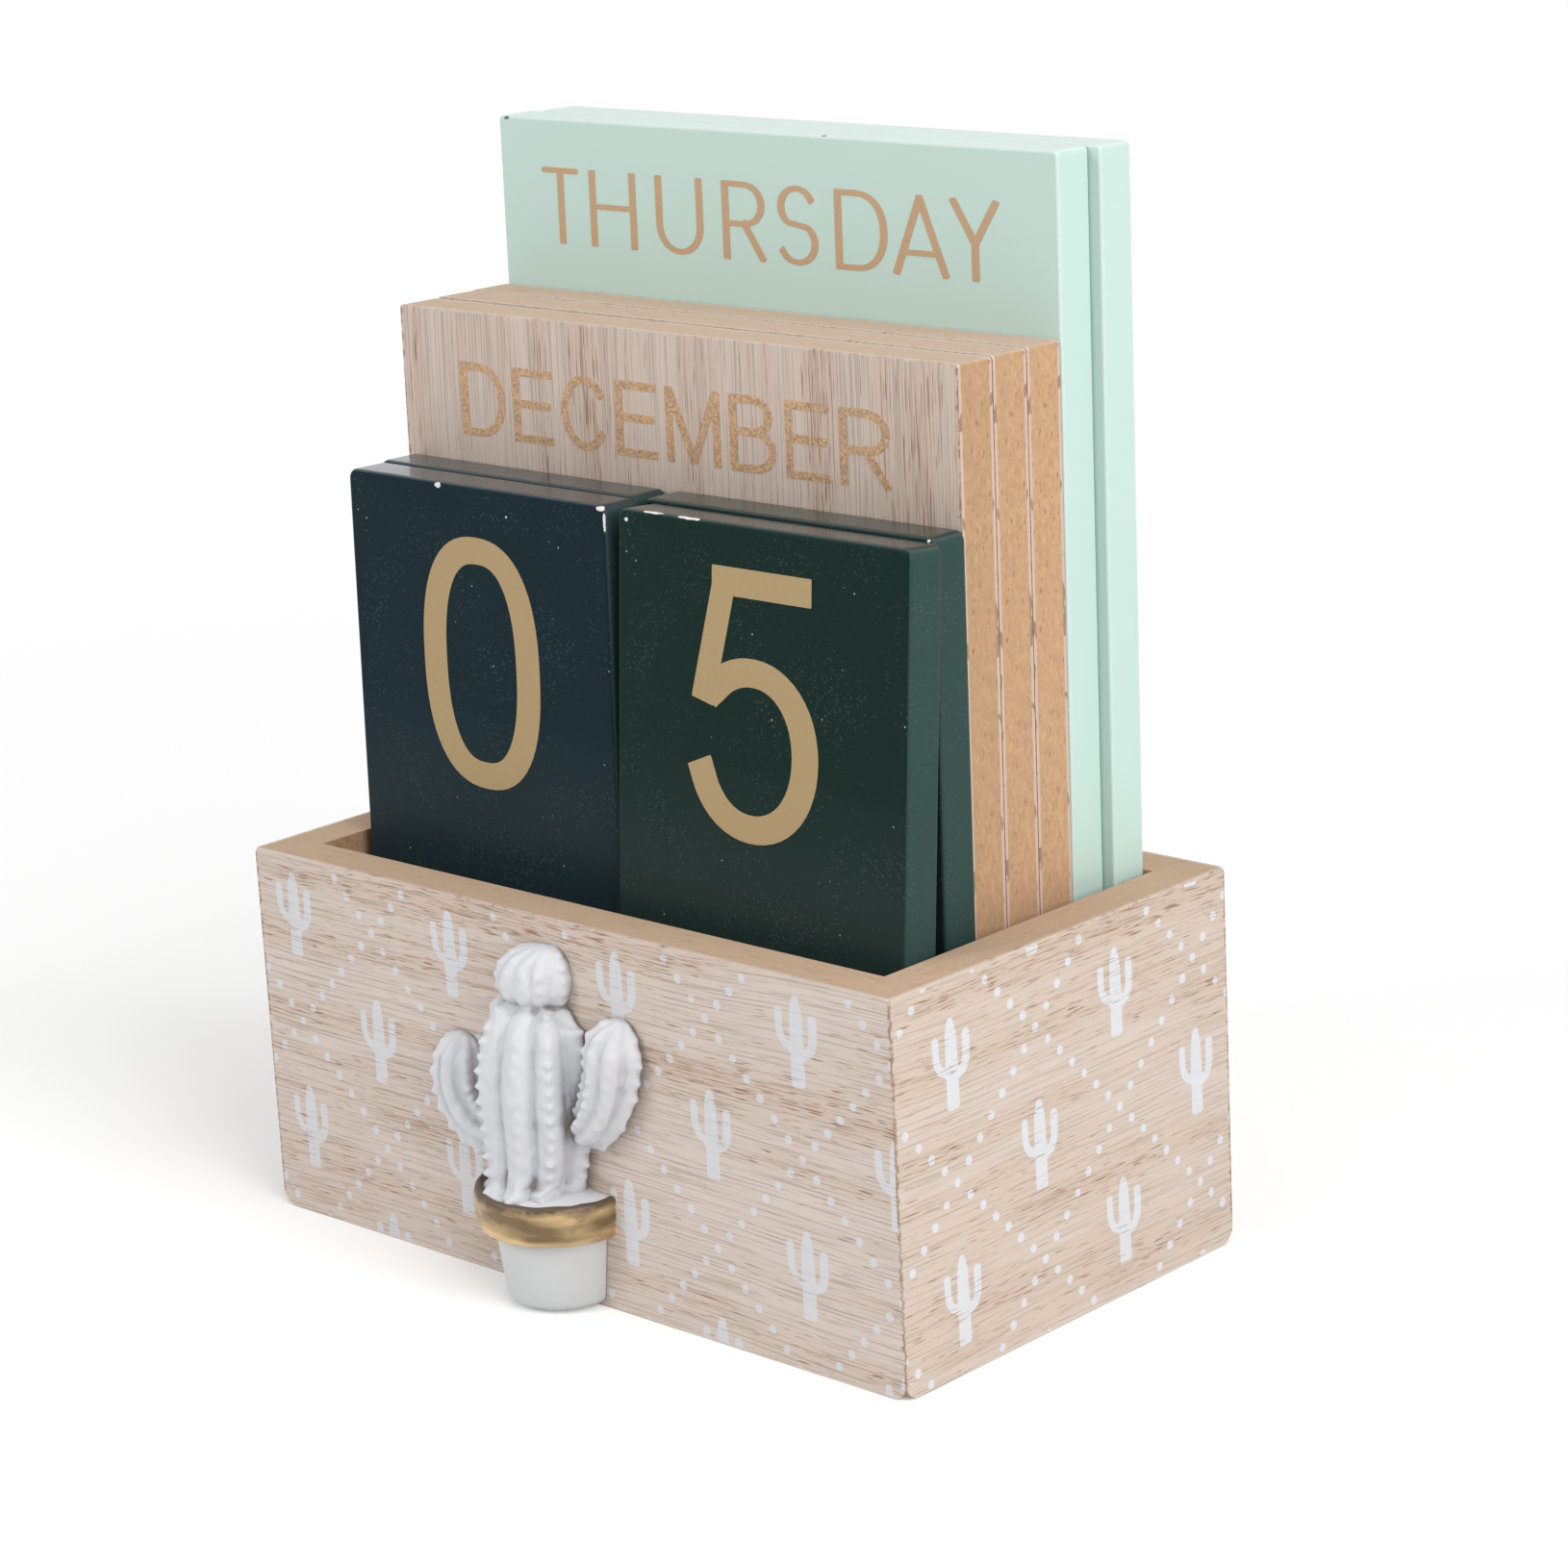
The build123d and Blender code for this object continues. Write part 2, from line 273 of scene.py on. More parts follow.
def stroke(points, pen, soft=0.12):
    """One stroke of a flat pen along a line, as four sided outlines. A third number of a point scales the
    pen there. Open ends are square, with corners that are taken off by soft."""
    loop = math.dist(points[0][:2], points[-1][:2]) < 1e-6
    line = [(p[0], p[1], p[2] if len(p) > 2 else 1.0) for p in points]
    if not loop:
        for near, far in ((0, 1), (-1, -2)):
            x, y, scale = line[near]
            dx, dy = x - line[far][0], y - line[far][1]
            size = math.hypot(dx, dy)
            dx, dy = dx / size, dy / size
            reach = math.hypot(pen[0] * dx, pen[1] * dy) / 2 * scale
            half = math.hypot(pen[0] * dy, pen[1] * dx) / 2
            ends = [
                (x + dx * (reach - soft), y + dy * (reach - soft), scale),
                (x + dx * reach, y + dy * reach, scale * max(half - soft, 0.02) / half),
            ]
            line = ends[::-1] + line if near == 0 else line + ends
    sides = []
    for i, (x, y, scale) in enumerate(line):
        before = line[i - 1] if i else line[-2] if loop else line[0]
        after = line[i + 1] if i + 1 < len(line) else line[1] if loop else line[-1]
        dx, dy = after[0] - before[0], after[1] - before[1]
        size = math.hypot(dx, dy)
        nx, ny = -dy / size, dx / size
        half = math.hypot(pen[0] * nx, pen[1] * ny) / 2 * scale
        sides.append(((x + nx * half, y + ny * half), (x - nx * half, y - ny * half)))
    return [[a[0], a[1], b[1], b[0]] for a, b in zip(sides, sides[1:])]


def sheet(outlines, thickness):
    """Joins overlapping flat outlines, in millimetres, into one thin solid: its corners and its faces."""
    points, faces = [], []
    for outline in outlines:
        twice = sum(a[0] * b[1] - b[0] * a[1] for a, b in zip(outline, outline[1:] + outline[:1]))
        if abs(twice) < 1e-6:
            continue
        ordered = outline if twice > 0 else outline[::-1]
        faces.append(list(range(len(points), len(points) + len(ordered))))
        points += [Vector(p) for p in ordered]
    flat, _, inside, _, _, sources = geometry.delaunay_2d_cdt(points, [], faces, 1, 1e-4)
    triangles = [face for face, source in zip(inside, sources) if source]
    edges = dict.fromkeys(edge for face in triangles for edge in zip(face, face[1:] + face[:1]))
    count = len(flat)
    corners = [Vector((p.x, p.y, level)) for level in (thickness, -thickness / 2) for p in flat]
    solid = [list(face) for face in triangles] + [[i + count for i in face[::-1]] for face in triangles]
    solid += [[b, a, a + count, b + count] for a, b in edges if (b, a) not in edges]
    return corners, solid


def new_piece(name, corners, faces, material, body, stands_for=(), smooth=False):
    """Makes a mesh piece that rides on a body of the calendar."""
    mesh = bpy.data.meshes.new(name)
    mesh.from_pydata([tuple(c) for c in corners], [], faces)
    mesh.validate()
    mesh.materials.append(material)
    piece = bpy.data.objects.new(name, mesh)
    bpy.context.scene.collection.objects.link(piece)
    if smooth:
        mesh.shade_smooth()
    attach(piece, body)
    if stands_for:
        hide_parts(*stands_for)
    return piece


def dress(node, material):
    """Gives a node of the packed model its finish."""
    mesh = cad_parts[node].data
    if mesh.materials:
        for i in range(len(mesh.materials)):
            mesh.materials[i] = material
    else:
        mesh.materials.append(material)


# -------------------------------------------------------------------------------- letters

# Strokes of each sign in a box one wide and one high.
SIGNS = {
    "A": [[(0, 0), (0.5, 1)], [(0.5, 1), (1, 0)], [(0.17, 0.27), (0.83, 0.27)]],
    "B": [
        [(0, 0), (0, 1)],
        [(0, 1)] + arc(0.52, 0.765, 0.4, 0.235, 90, -90, 10) + [(0, 0.53)],
        [(0, 0.53)] + arc(0.55, 0.265, 0.45, 0.265, 90, -90, 10) + [(0, 0)],
    ],
    "C": [arc(0.52, 0.5, 0.52, 0.5, 38, 322, 26)],
    "D": [[(0, 0), (0, 1)], [(0, 1)] + arc(0.4, 0.5, 0.6, 0.5, 90, -90, 18, 2.2) + [(0, 0)]],
    "E": [[(0, 0), (0, 1)], [(0, 1), (1, 1)], [(0, 0.52), (0.93, 0.52)], [(0, 0), (1, 0)]],
    "F": [[(0, 0), (0, 1)], [(0, 1), (1, 1)], [(0, 0.5), (0.88, 0.5)]],
    "G": [
        arc(0.52, 0.5, 0.52, 0.5, 40, 318, 26) + [(1, 0.2)],
        [(1, 0.2), (1, 0.45)],
        [(0.58, 0.45), (1, 0.45)],
    ],
    "H": [[(0, 0), (0, 1)], [(1, 0), (1, 1)], [(0, 0.53), (1, 0.53)]],
    "I": [[(0.5, 0), (0.5, 1)]],
    "J": [[(1, 1)] + arc(0.5, 0.32, 0.5, 0.32, 0, -170, 14)],
    "L": [[(0, 0), (0, 1)], [(0, 0), (1, 0)]],
    "M": [[(0, 0), (0, 1)], [(0.02, 1), (0.5, 0)], [(0.5, 0), (0.98, 1)], [(1, 0), (1, 1)]],
    "N": [[(0, 0), (0, 1)], [(0, 1), (1, 0)], [(1, 0), (1, 1)]],
    "O": [arc(0.5, 0.5, 0.5, 0.5, 0, 360, 32)],
    "P": [[(0, 0), (0, 1)], [(0, 1)] + arc(0.5, 0.73, 0.5, 0.27, 90, -90, 12) + [(0, 0.46)]],
    "R": [
        [(0, 0), (0, 1)],
        [(0, 1)] + arc(0.52, 0.73, 0.48, 0.27, 90, -90, 12) + [(0, 0.46)],
        [(0.52, 0.46), (1, 0)],
    ],
    "S": [arc(0.5, 0.745, 0.46, 0.255, 28, 235, 18) + arc(0.5, 0.265, 0.5, 0.265, 55, -152, 18)],
    "T": [[(0, 1), (1, 1)], [(0.5, 0), (0.5, 1)]],
    "U": [[(0, 1)] + arc(0.5, 0.36, 0.5, 0.36, 180, 360, 18) + [(1, 1)]],
    "V": [[(0, 1), (0.5, 0)], [(0.5, 0), (1, 1)]],
    "W": [[(0, 1), (0.26, 0)], [(0.26, 0), (0.5, 1)], [(0.5, 1), (0.74, 0)], [(0.74, 0), (1, 1)]],
    "Y": [[(0, 1), (0.5, 0.45)], [(1, 1), (0.5, 0.45)], [(0.5, 0.45), (0.5, 0)]],
    "0": [arc(0.5, 0.5, 0.5, 0.5, 0, 360, 64, 2.45)],
    "1": [[(0.2, 0.863), (0.48, 0.988)], [(0.58, 0), (0.58, 1)]],
    "2": [arc(0.5, 0.72, 0.5, 0.28, 172, -38, 26) + [(-0.03, 0.02)], [(0, 0), (1, 0)]],
    "3": [arc(0.47, 0.755, 0.45, 0.245, 155, -88, 24), arc(0.47, 0.265, 0.53, 0.265, 88, -158, 26)],
    "4": [[(0.74, 0), (0.74, 1)], [(0.7, 1), (-0.02, 0.295)], [(0, 0.26), (1, 0.26)]],
    "5": [
        [(0.23, 1), (0.925, 1)],
        [(0.205, 0.95, 0.88), (0.04, 0.545, 0.88)],
        arc(0.497, 0.3207, 0.503, 0.3207, 131, -158, 40, 2.1),
    ],
    "6": [arc(0.5, 0.3, 0.5, 0.3, 0, 360, 40), arc(0.62, 0.36, 0.62, 0.64, 180, 78, 20)],
    "7": [[(0, 1), (1, 1)], [(1.025, 0.99), (0.35, -0.05)]],
    "8": [arc(0.5, 0.755, 0.42, 0.245, 0, 360, 36), arc(0.5, 0.26, 0.5, 0.26, 0, 360, 40)],
    "9": [arc(0.5, 0.7, 0.5, 0.3, 0, 360, 40), arc(0.38, 0.64, 0.62, 0.64, 0, -102, 20)],
}
# Left space, width and right space of each capital, in millimetres.
WEEKDAY_WIDTHS = {
    "A": (0.1, 9.4, 0.1), "D": (1.6, 9.0, 0.7), "E": (1.6, 6.7, 0.8), "F": (1.6, 6.4, 0.5),
    "H": (1.75, 8.8, 1.75), "I": (1.75, 1.25, 1.75), "M": (1.75, 10.4, 1.75), "N": (1.75, 8.8, 1.75),
    "O": (1.1, 9.8, 1.1), "R": (1.6, 7.7, 0.7), "S": (1.3, 7.3, 1.3), "T": (0.3, 6.9, 0.3),
    "U": (1.9, 8.7, 1.9), "W": (0.2, 12.6, 0.2), "Y": (0.2, 8.1, 0.2),
}
# The months have one space on both sides of every capital, and these widths.
MONTH_GAP = 0.8
MONTH_WIDTHS = {
    "A": 9.2, "B": 8.0, "C": 8.4, "D": 8.3, "E": 7.45, "F": 7.2, "G": 8.9, "H": 8.2, "I": 1.3, "J": 6.4,
    "L": 6.8, "M": 9.6, "N": 8.2, "O": 9.0, "P": 8.0, "R": 8.4, "S": 8.0, "T": 7.8, "U": 8.2, "V": 8.8,
    "Y": 8.8,
}
WIDEST_WORD = 84.0  # a longer word is set narrower


def sign(letter, left, foot, width, height, pen):
    """Outlines of one letter or digit in its box, in millimetres."""
    outlines = []
    for line in SIGNS[letter]:
        points = [
            (pen[0] / 2 + x * (width - pen[0]), pen[1] / 2 + y * (height - pen[1]), *scale)
            for x, y, *scale in line
        ]
        for outline in stroke(points, pen):
            cut = clipped(outline, width, height)
            if cut:
                outlines.append([(left + x, foot + y) for x, y in cut])
    return outlines


def word(letters, widths, middle, foot, height, pen):
    """Outlines of a word about its middle, in millimetres. A long word is set narrower."""
    total = sum(sum(widths[c]) for c in letters)
    squeeze = min(1, WIDEST_WORD / total)
    left = middle - total * squeeze / 2
    outlines = []
    for c in letters:
        before, width, after = (w * squeeze for w in widths[c])
        outlines += sign(c, left + before, foot, width, height, pen)
        left += before + width + after
    return outlines


def gild(board, nodes, material, faces, draw, thickness):
    """Lays the foil of a board: two readings on each face, the second one upside down at the other end."""
    corners, solid = [], []
    for facing, readings in zip((FRONT, BACK), faces):
        place, (width, height, _) = flat_face(nodes, facing)
        half_turn = Matrix.Translation((width, height, 0)) @ Matrix.Rotation(math.pi, 4, "Z")
        for reading, turned in zip(readings, (Matrix.Identity(4), half_turn)):
            if not reading:
                continue
            points, made = sheet(draw(reading, width / MM, height / MM), thickness / MM)
            solid += [[i + len(corners) for i in face] for face in made]
            corners += [place @ turned @ (p * MM) for p in points]
    return new_piece(f"{board}_foil", corners, solid, material, board)


# -------------------------------------------------------------------------------- finishes


def add(tree, kind, feeds=(), out=None, **settings):
    """Adds one node, sets it and feeds its inputs with values or with other nodes. feeds gives them by the
    names of the inputs or, in a tuple, in the order of the inputs in use. It returns the named output, or
    else the first in use."""
    made = tree.nodes.new(f"ShaderNode{kind}")
    for name, value in settings.items():
        setattr(made, name, value)
    if isinstance(feeds, dict):
        pairs = [(made.inputs[name], value) for name, value in feeds.items()]
    else:
        pairs = zip([socket for socket in made.inputs if socket.enabled], feeds)
    for socket, value in pairs:
        if isinstance(value, bpy.types.NodeSocket):
            tree.links.new(value, socket)
        else:
            socket.default_value = value
    return made.outputs[out] if out else next((socket for socket in made.outputs if socket.enabled), None)


def new_finish(name):
    """An empty material and its node tree."""
    material = bpy.data.materials.new(name)
    material.use_nodes = True
    material.node_tree.nodes.clear()
    return material, material.node_tree


def surface(tree, feeds):
    """Ends a finish: the shader with its inputs, on the output."""
    add(tree, "OutputMaterial", (add(tree, "BsdfPrincipled", feeds),))


def rgba(tone, *factors):
    """A colour with its alpha. One factor scales it as a whole, three scale its channels, up to full
    strength."""
    factors = factors * 3 if len(factors) == 1 else factors or (1.0, 1.0, 1.0)
    return (*(min(1.0, c * f) for c, f in zip(tone, factors)), 1.0)


def layered(tree, base, *coats):
    """A base colour under its coats, each with the share of it that shows and its colour."""
    for share, coat in coats:
        base = add(tree, "Mix", (share, base, coat), data_type="RGBA")
    return base


def drawn_out(tree, here, cells, detail, roughness=0.5):
    """Uneven tone in cells drawn out by different lengths: so many to one unit of here along each axis."""
    scaled = add(tree, "VectorMath", (here, cells), operation="MULTIPLY")
    return add(tree, "TexNoise", {"Vector": scaled, "Scale": 1.0, "Detail": detail, "Roughness": roughness})


def specks(tree, here, cells, empty, largest):
    """One in round specks scattered in cells, so many to one unit of here. empty is the share of cells
    without a speck, and largest is the radius of the largest speck as a share of a cell."""
    scattered = add(tree, "TexVoronoi", {"Vector": here, "Scale": cells}).node.outputs
    pick = add(tree, "SeparateColor", (scattered["Color"],))
    radius = add(tree, "MapRange", (pick, empty, 1.0, 0.0, largest))
    return add(tree, "Math", (scattered["Distance"], radius), operation="LESS_THAN")


def board_millimetres(tree, place):
    """Where a point lies on its board, in millimetres from the lower left corner of the front face."""
    here = add(tree, "TexCoord", out="Object")
    return add(
        tree, "Mapping",
        {"Vector": here, "Location": place.translation, "Rotation": place.to_euler(), "Scale": (MM, MM, MM)},
        vector_type="TEXTURE",
    )


def edge_distance(tree, here, size):
    """How far a point on the outside of a board lies from the nearest arris, in millimetres: the second
    smallest of its distances from the three pairs of faces."""
    split = add(tree, "SeparateXYZ", (here,)).node.outputs
    nearest = []
    for axis, low, high in (("X", 0, size[0] / MM), ("Y", 0, size[1] / MM), ("Z", -size[2] / MM, 0)):
        from_low = add(tree, "Math", (split[axis], low), operation="SUBTRACT")
        from_high = add(tree, "Math", (high, split[axis]), operation="SUBTRACT")
        nearest.append(add(tree, "Math", (from_low, from_high), operation="MINIMUM"))
    a, b, c = nearest
    lower = add(tree, "Math", (a, b), operation="MINIMUM")
    upper = add(tree, "Math", (a, b), operation="MAXIMUM")
    other = add(tree, "Math", (upper, c), operation="MINIMUM")
    return add(tree, "Math", (lower, other), operation="MAXIMUM")


def facing_share(tree, direction):
    """One where a surface looks along the direction, nothing where it is square to it."""
    normal = add(tree, "NewGeometry", out="Normal")
    share = add(tree, "VectorMath", (normal, direction), operation="DOT_PRODUCT")
    return add(tree, "MapRange", (share, 0.5, 0.8))


def top_share(tree, place):
    """One on the top of a board and nothing elsewhere on it."""
    return facing_share(tree, place.col[1].to_3d())


def side_share(tree, place):
    """One on the two narrow sides of a board and nothing elsewhere on it."""
    right, left = (facing_share(tree, place.col[0].to_3d() * way) for way in (1, -1))
    return add(tree, "Math", (right, left), operation="MAXIMUM")


def veneer_edges(tree, place, size, here, wood, pore, lip):
    """The colour of a veneer with its cut edges: brown and broken along the sides of its face, pale with the
    wash and brown where a splinter has come off on the sawn ends, and thin, pale and torn along the top."""
    split = add(tree, "SeparateXYZ", (here,)).node.outputs
    chipping = add(tree, "TexNoise", {"Vector": here, "Scale": 0.9, "Detail": 3.0, "Roughness": 0.7})
    far_side = add(tree, "Math", (size[0] / MM, split["X"]), operation="SUBTRACT")
    from_side = add(tree, "Math", (split["X"], far_side), operation="MINIMUM")
    ragged = add(tree, "Math", (chipping, 2.2, from_side), operation="MULTIPLY_ADD")
    seam = add(tree, "MapRange", (ragged, 1.45, 1.15))
    sawn = side_share(tree, place)
    on_face = add(tree, "MapRange", (sawn, 0.0, 1.0, 0.75, 0.0))
    seam_share = add(tree, "Math", (seam, on_face), operation="MULTIPLY")
    slivers = drawn_out(tree, here, (0.5, 0.3, 0.9), 2.0)
    splinters = add(tree, "MapRange", (slivers, 0.57, 0.61, 0.0, 0.8))
    ends = layered(tree, rgba(lip, 0.88, 0.81, 0.76), (splinters, pore))
    below_top = add(tree, "Math", (size[1] / MM, split["Y"]), operation="SUBTRACT")
    torn = add(tree, "Math", (chipping, 2.6, below_top), operation="MULTIPLY_ADD")
    lips = add(tree, "MapRange", (torn, 1.5, 1.3, 0.0, 0.8))
    return layered(tree, wood, (seam_share, pore), (sawn, ends), (lips, lip))


def limed_veneer(name, place, size, level, colours, coat=None, stretch=1.0):
    """Paulownia veneer, sliced 0.5 mm thick, sanded and lime washed.
    It shows straight fine streaks along the grain, rows of short open brown pores where the growth rings
    were, and slow bands of tone; the wash leaves it matt and chalky, and the cut edges are ragged. level is
    true where the grain lies level, and stretch lengthens its streaks and pores. coat is for a thin ink or
    flaked gold that the open pores break: its colour, the share it covers between pores, what the streaks
    take from that, and how metallic it is."""
    light, streak, pore, lip = (rgba(c) for c in colours)
    material, tree = new_finish(name)
    here = board_millimetres(tree, place)
    split = add(tree, "SeparateXYZ", (here,)).node.outputs
    along, across = ("X", "Y") if level else ("Y", "X")
    # The grain wanders by up to 2 mm over 7 cm.
    wander = drawn_out(tree, here, (0.014, 0.014, 0.014), 1.0)
    shifted = add(tree, "Math", (wander, 4.5, split[across]), operation="MULTIPLY_ADD")
    grain = add(tree, "CombineXYZ", (split[along], shifted, split["Z"]))
    # Growth rings about 7 mm wide.
    rings = drawn_out(tree, grain, (0.008, 0.15, 0.1), 3.0)
    ring = add(tree, "MapRange", (rings, 0.42, 0.66))
    # Streaks up to 0.3 mm wide and 2 cm long.
    fibres = drawn_out(tree, grain, (0.055 / stretch, 3.3, 0.8), 3.0, 0.6)
    fibre = add(tree, "MapRange", (fibres, 0.505, 0.61))
    streaks = add(tree, "Math", (fibre, 0.62 if level else 0.52), operation="MULTIPLY")
    # Open pores 0.2 mm wide and up to 4 mm long, crowded in the rings.
    pores = drawn_out(tree, grain, (0.25 / stretch, 4.8, 1.0), 1.0)
    crowd = add(tree, "MapRange", (rings, 0.44, 0.62, 0.02, 0.15 if level else 0.165))
    open_level = add(tree, "Math", (0.74, crowd), operation="SUBTRACT")
    over = add(tree, "Math", (pores, open_level), operation="SUBTRACT")
    hole = add(tree, "MapRange", (over, -0.02, 0.04))
    depth = add(tree, "Math", (hole, 0.85), operation="MULTIPLY")
    wood = layered(tree, light, (ring, rgba(light, 0.93, 0.87, 0.82)), (streaks, streak), (depth, pore))
    relief = add(tree, "Math", (hole, -0.7, fibre), operation="MULTIPLY_ADD")
    bump = add(tree, "Bump", {"Height": relief, "Strength": 0.35, "Distance": 0.05 * MM})
    feeds = {"Roughness": 0.72, "Normal": bump, "Specular IOR Level": 0.3}
    if coat:
        ink, hold, streaky, metallic = coat
        unworn = add(tree, "MapRange", (over, -0.05, 0.03, hold, 0.35))
        cover = add(tree, "Math", (fibre, -streaky, unworn), operation="MULTIPLY_ADD", use_clamp=True)
        printed = rgba(ink)
        if metallic:
            # Gold flakes about 0.3 mm across.
            flakes = add(tree, "TexVoronoi", {"Vector": here, "Scale": 3.8}, "Color")
            glint = add(tree, "SeparateColor", (flakes,))
            printed = layered(tree, rgba(ink, 0.6), (glint, rgba(ink, 1.35)))
            feeds["Metallic"] = add(tree, "Math", (cover, metallic), operation="MULTIPLY")
            feeds["Roughness"] = add(tree, "MapRange", (glint, 0.0, 1.0, 0.35, 0.65))
        feeds["Base Color"] = layered(tree, wood, (cover, printed))
    else:
        feeds["Base Color"] = veneer_edges(tree, place, size, here, wood, pore, lip)
    surface(tree, feeds)
    return material


def bare_board(name, place, settings, top, tone=1.0):
    """Medium density fibreboard, sawn and sanded.
    It shows a warm felt of pressed fibres about 1 mm long, a few dark specks, a paler face where it was
    sanded along the top, and no gloss. top is the colour there, and tone is how pale this board is beside
    the others."""
    material, tree = new_finish(name)
    here = board_millimetres(tree, place)
    base, darker = rgba(settings.board, tone), rgba(settings.board_dark)
    felt = drawn_out(tree, here, (1.7, 0.8, 1.7), 5.0, 0.78)
    pale = add(tree, "MapRange", (felt, 0.38, 0.64))
    clouds = drawn_out(tree, here, (0.12, 0.09, 0.4), 2.0)
    dust = drawn_out(tree, here, (2.6, 0.8, 2.6), 1.0)
    dark = add(tree, "MapRange", (dust, 0.63, 0.76, 0.0, 0.6))
    sides = layered(
        tree, rgba(base, 0.78), (pale, rgba(base, 1.18)), (clouds, rgba(base, 0.9)), (dark, darker)
    )
    # The top is sanded along its length: long soft streaks and a few brown dashes.
    sanded = drawn_out(tree, here, (0.22, 1.0, 1.9), 4.0, 0.65)
    dashes = add(tree, "MapRange", (sanded, 0.58, 0.72, 0.0, 0.42))
    tops = layered(tree, rgba(top, 0.8), (pale, rgba(top)), (sanded, rgba(top, 0.84)), (dashes, darker))
    both = layered(tree, sides, (top_share(tree, place), tops))
    bump = add(tree, "Bump", {"Height": felt, "Strength": 0.5, "Distance": 0.12 * MM})
    surface(tree, {"Base Color": both, "Roughness": 0.85, "Normal": bump, "Specular IOR Level": 0.2})
    return material


def lost_paint(tree, here, ragged, chips):
    """One where paint has come off. Each of chips is a place on the board and the half lengths of the bare
    spot, in millimetres; ragged frays it."""
    bare = 0.0
    for at, half in chips:
        offset = add(tree, "VectorMath", (here, at), operation="SUBTRACT")
        scaled = add(tree, "VectorMath", (offset, half), operation="DIVIDE")
        away = add(tree, "VectorMath", (scaled,), operation="LENGTH")
        frayed = add(tree, "Math", (ragged, 1.6, away), operation="MULTIPLY_ADD")
        spot = add(tree, "Math", (frayed, 1.8), operation="LESS_THAN")
        bare = add(tree, "Math", (spot, bare), operation="MAXIMUM")
    return bare


def sprayed_tile(name, place, size, paint, settings, chips):
    """Dark alkyd paint, sprayed on sanded board and sanded back along the top.
    It shows a faint orange peel, pale dust nibs and drifts, a pale haze towards the tray that is a painted
    reflection of the lit tray rim, painted light on the sides and the arris, rubbed arrises, bare corners and
    a shine on the top."""
    material, tree = new_finish(name)
    here = board_millimetres(tree, place)
    slow = add(tree, "TexNoise", {"Vector": here, "Scale": 0.06, "Detail": 3.0})
    ragged = add(tree, "TexNoise", {"Vector": here, "Scale": 1.3, "Detail": 4.0, "Roughness": 0.7})
    # Dust nibs up to 0.25 mm across, and drifts of finer ones that are drawn 0.3 mm across so that they show.
    nibs = add(tree, "Math", (specks(tree, here, 0.6, 0.6, 0.075), 0.5), operation="MULTIPLY")
    patches = add(tree, "TexNoise", {"Vector": here, "Scale": 0.1, "Detail": 3.0})
    patch = add(tree, "MapRange", (patches, 0.36, 0.62, 0.1, 0.42))
    drifts = add(tree, "Math", (specks(tree, here, 2.6, 0.0, patch), 0.045), operation="MULTIPLY")
    dusty = add(tree, "Math", (nibs, drifts), operation="MAXIMUM")
    # Painted reflection: a pale haze in the dust colour grows towards the tray rim and stands in for the
    # light that the lit rim throws on the tile.
    height = add(tree, "SeparateXYZ", (here,), "Y")
    painted_rim_reflection = add(tree, "MapRange", (height, 66.0, 47.0, 0.0, 0.06))
    # Rubbed arrises.
    edge = edge_distance(tree, here, size)
    where = add(tree, "TexNoise", {"Vector": here, "Scale": 0.045, "Detail": 1.0})
    reach = add(tree, "MapRange", (where, 0.48, 0.72, 0.0, 1.5))
    broken = add(tree, "Math", (ragged, -0.45), operation="ADD")
    rubbed_to = add(tree, "Math", (broken, reach), operation="MULTIPLY")
    rubbed = add(tree, "Math", (edge, rubbed_to), operation="LESS_THAN")
    bare = add(tree, "Math", (rubbed, lost_paint(tree, here, ragged, chips)), operation="MAXIMUM")
    worn = add(tree, "Math", (bare, dusty), operation="MAXIMUM")
    # Painted light: the sawn sides are painted paler for the sheen that they catch, and the arris between
    # them and the face is painted paler as a highlight.
    pale = rgba([c + more for c, more in zip(paint, (0.027, 0.044, 0.042))])
    arris = add(tree, "MapRange", (edge, 0.05, 0.3, 0.5, 0.0))
    shown = layered(
        tree, rgba(paint), (slow, rgba(paint, 0.8)), (painted_rim_reflection, rgba(settings.dust)),
        (side_share(tree, place), pale), (arris, pale), (worn, rgba(settings.chip)),
    )
    peel = add(tree, "TexNoise", {"Vector": here, "Scale": 1.6, "Detail": 2.0})
    surface(tree, {
        "Base Color": shown,
        "Roughness": add(tree, "MapRange", (slow, 0.3, 0.7, 0.3, 0.42)),
        "Specular IOR Level": 0.09,
        "Coat Weight": add(tree, "Math", (top_share(tree, place), 0.9), operation="MULTIPLY"),
        "Coat Roughness": 0.16,
        "Normal": add(tree, "Bump", {"Height": peel, "Strength": 0.25, "Distance": 0.02 * MM}),
    })
    return material


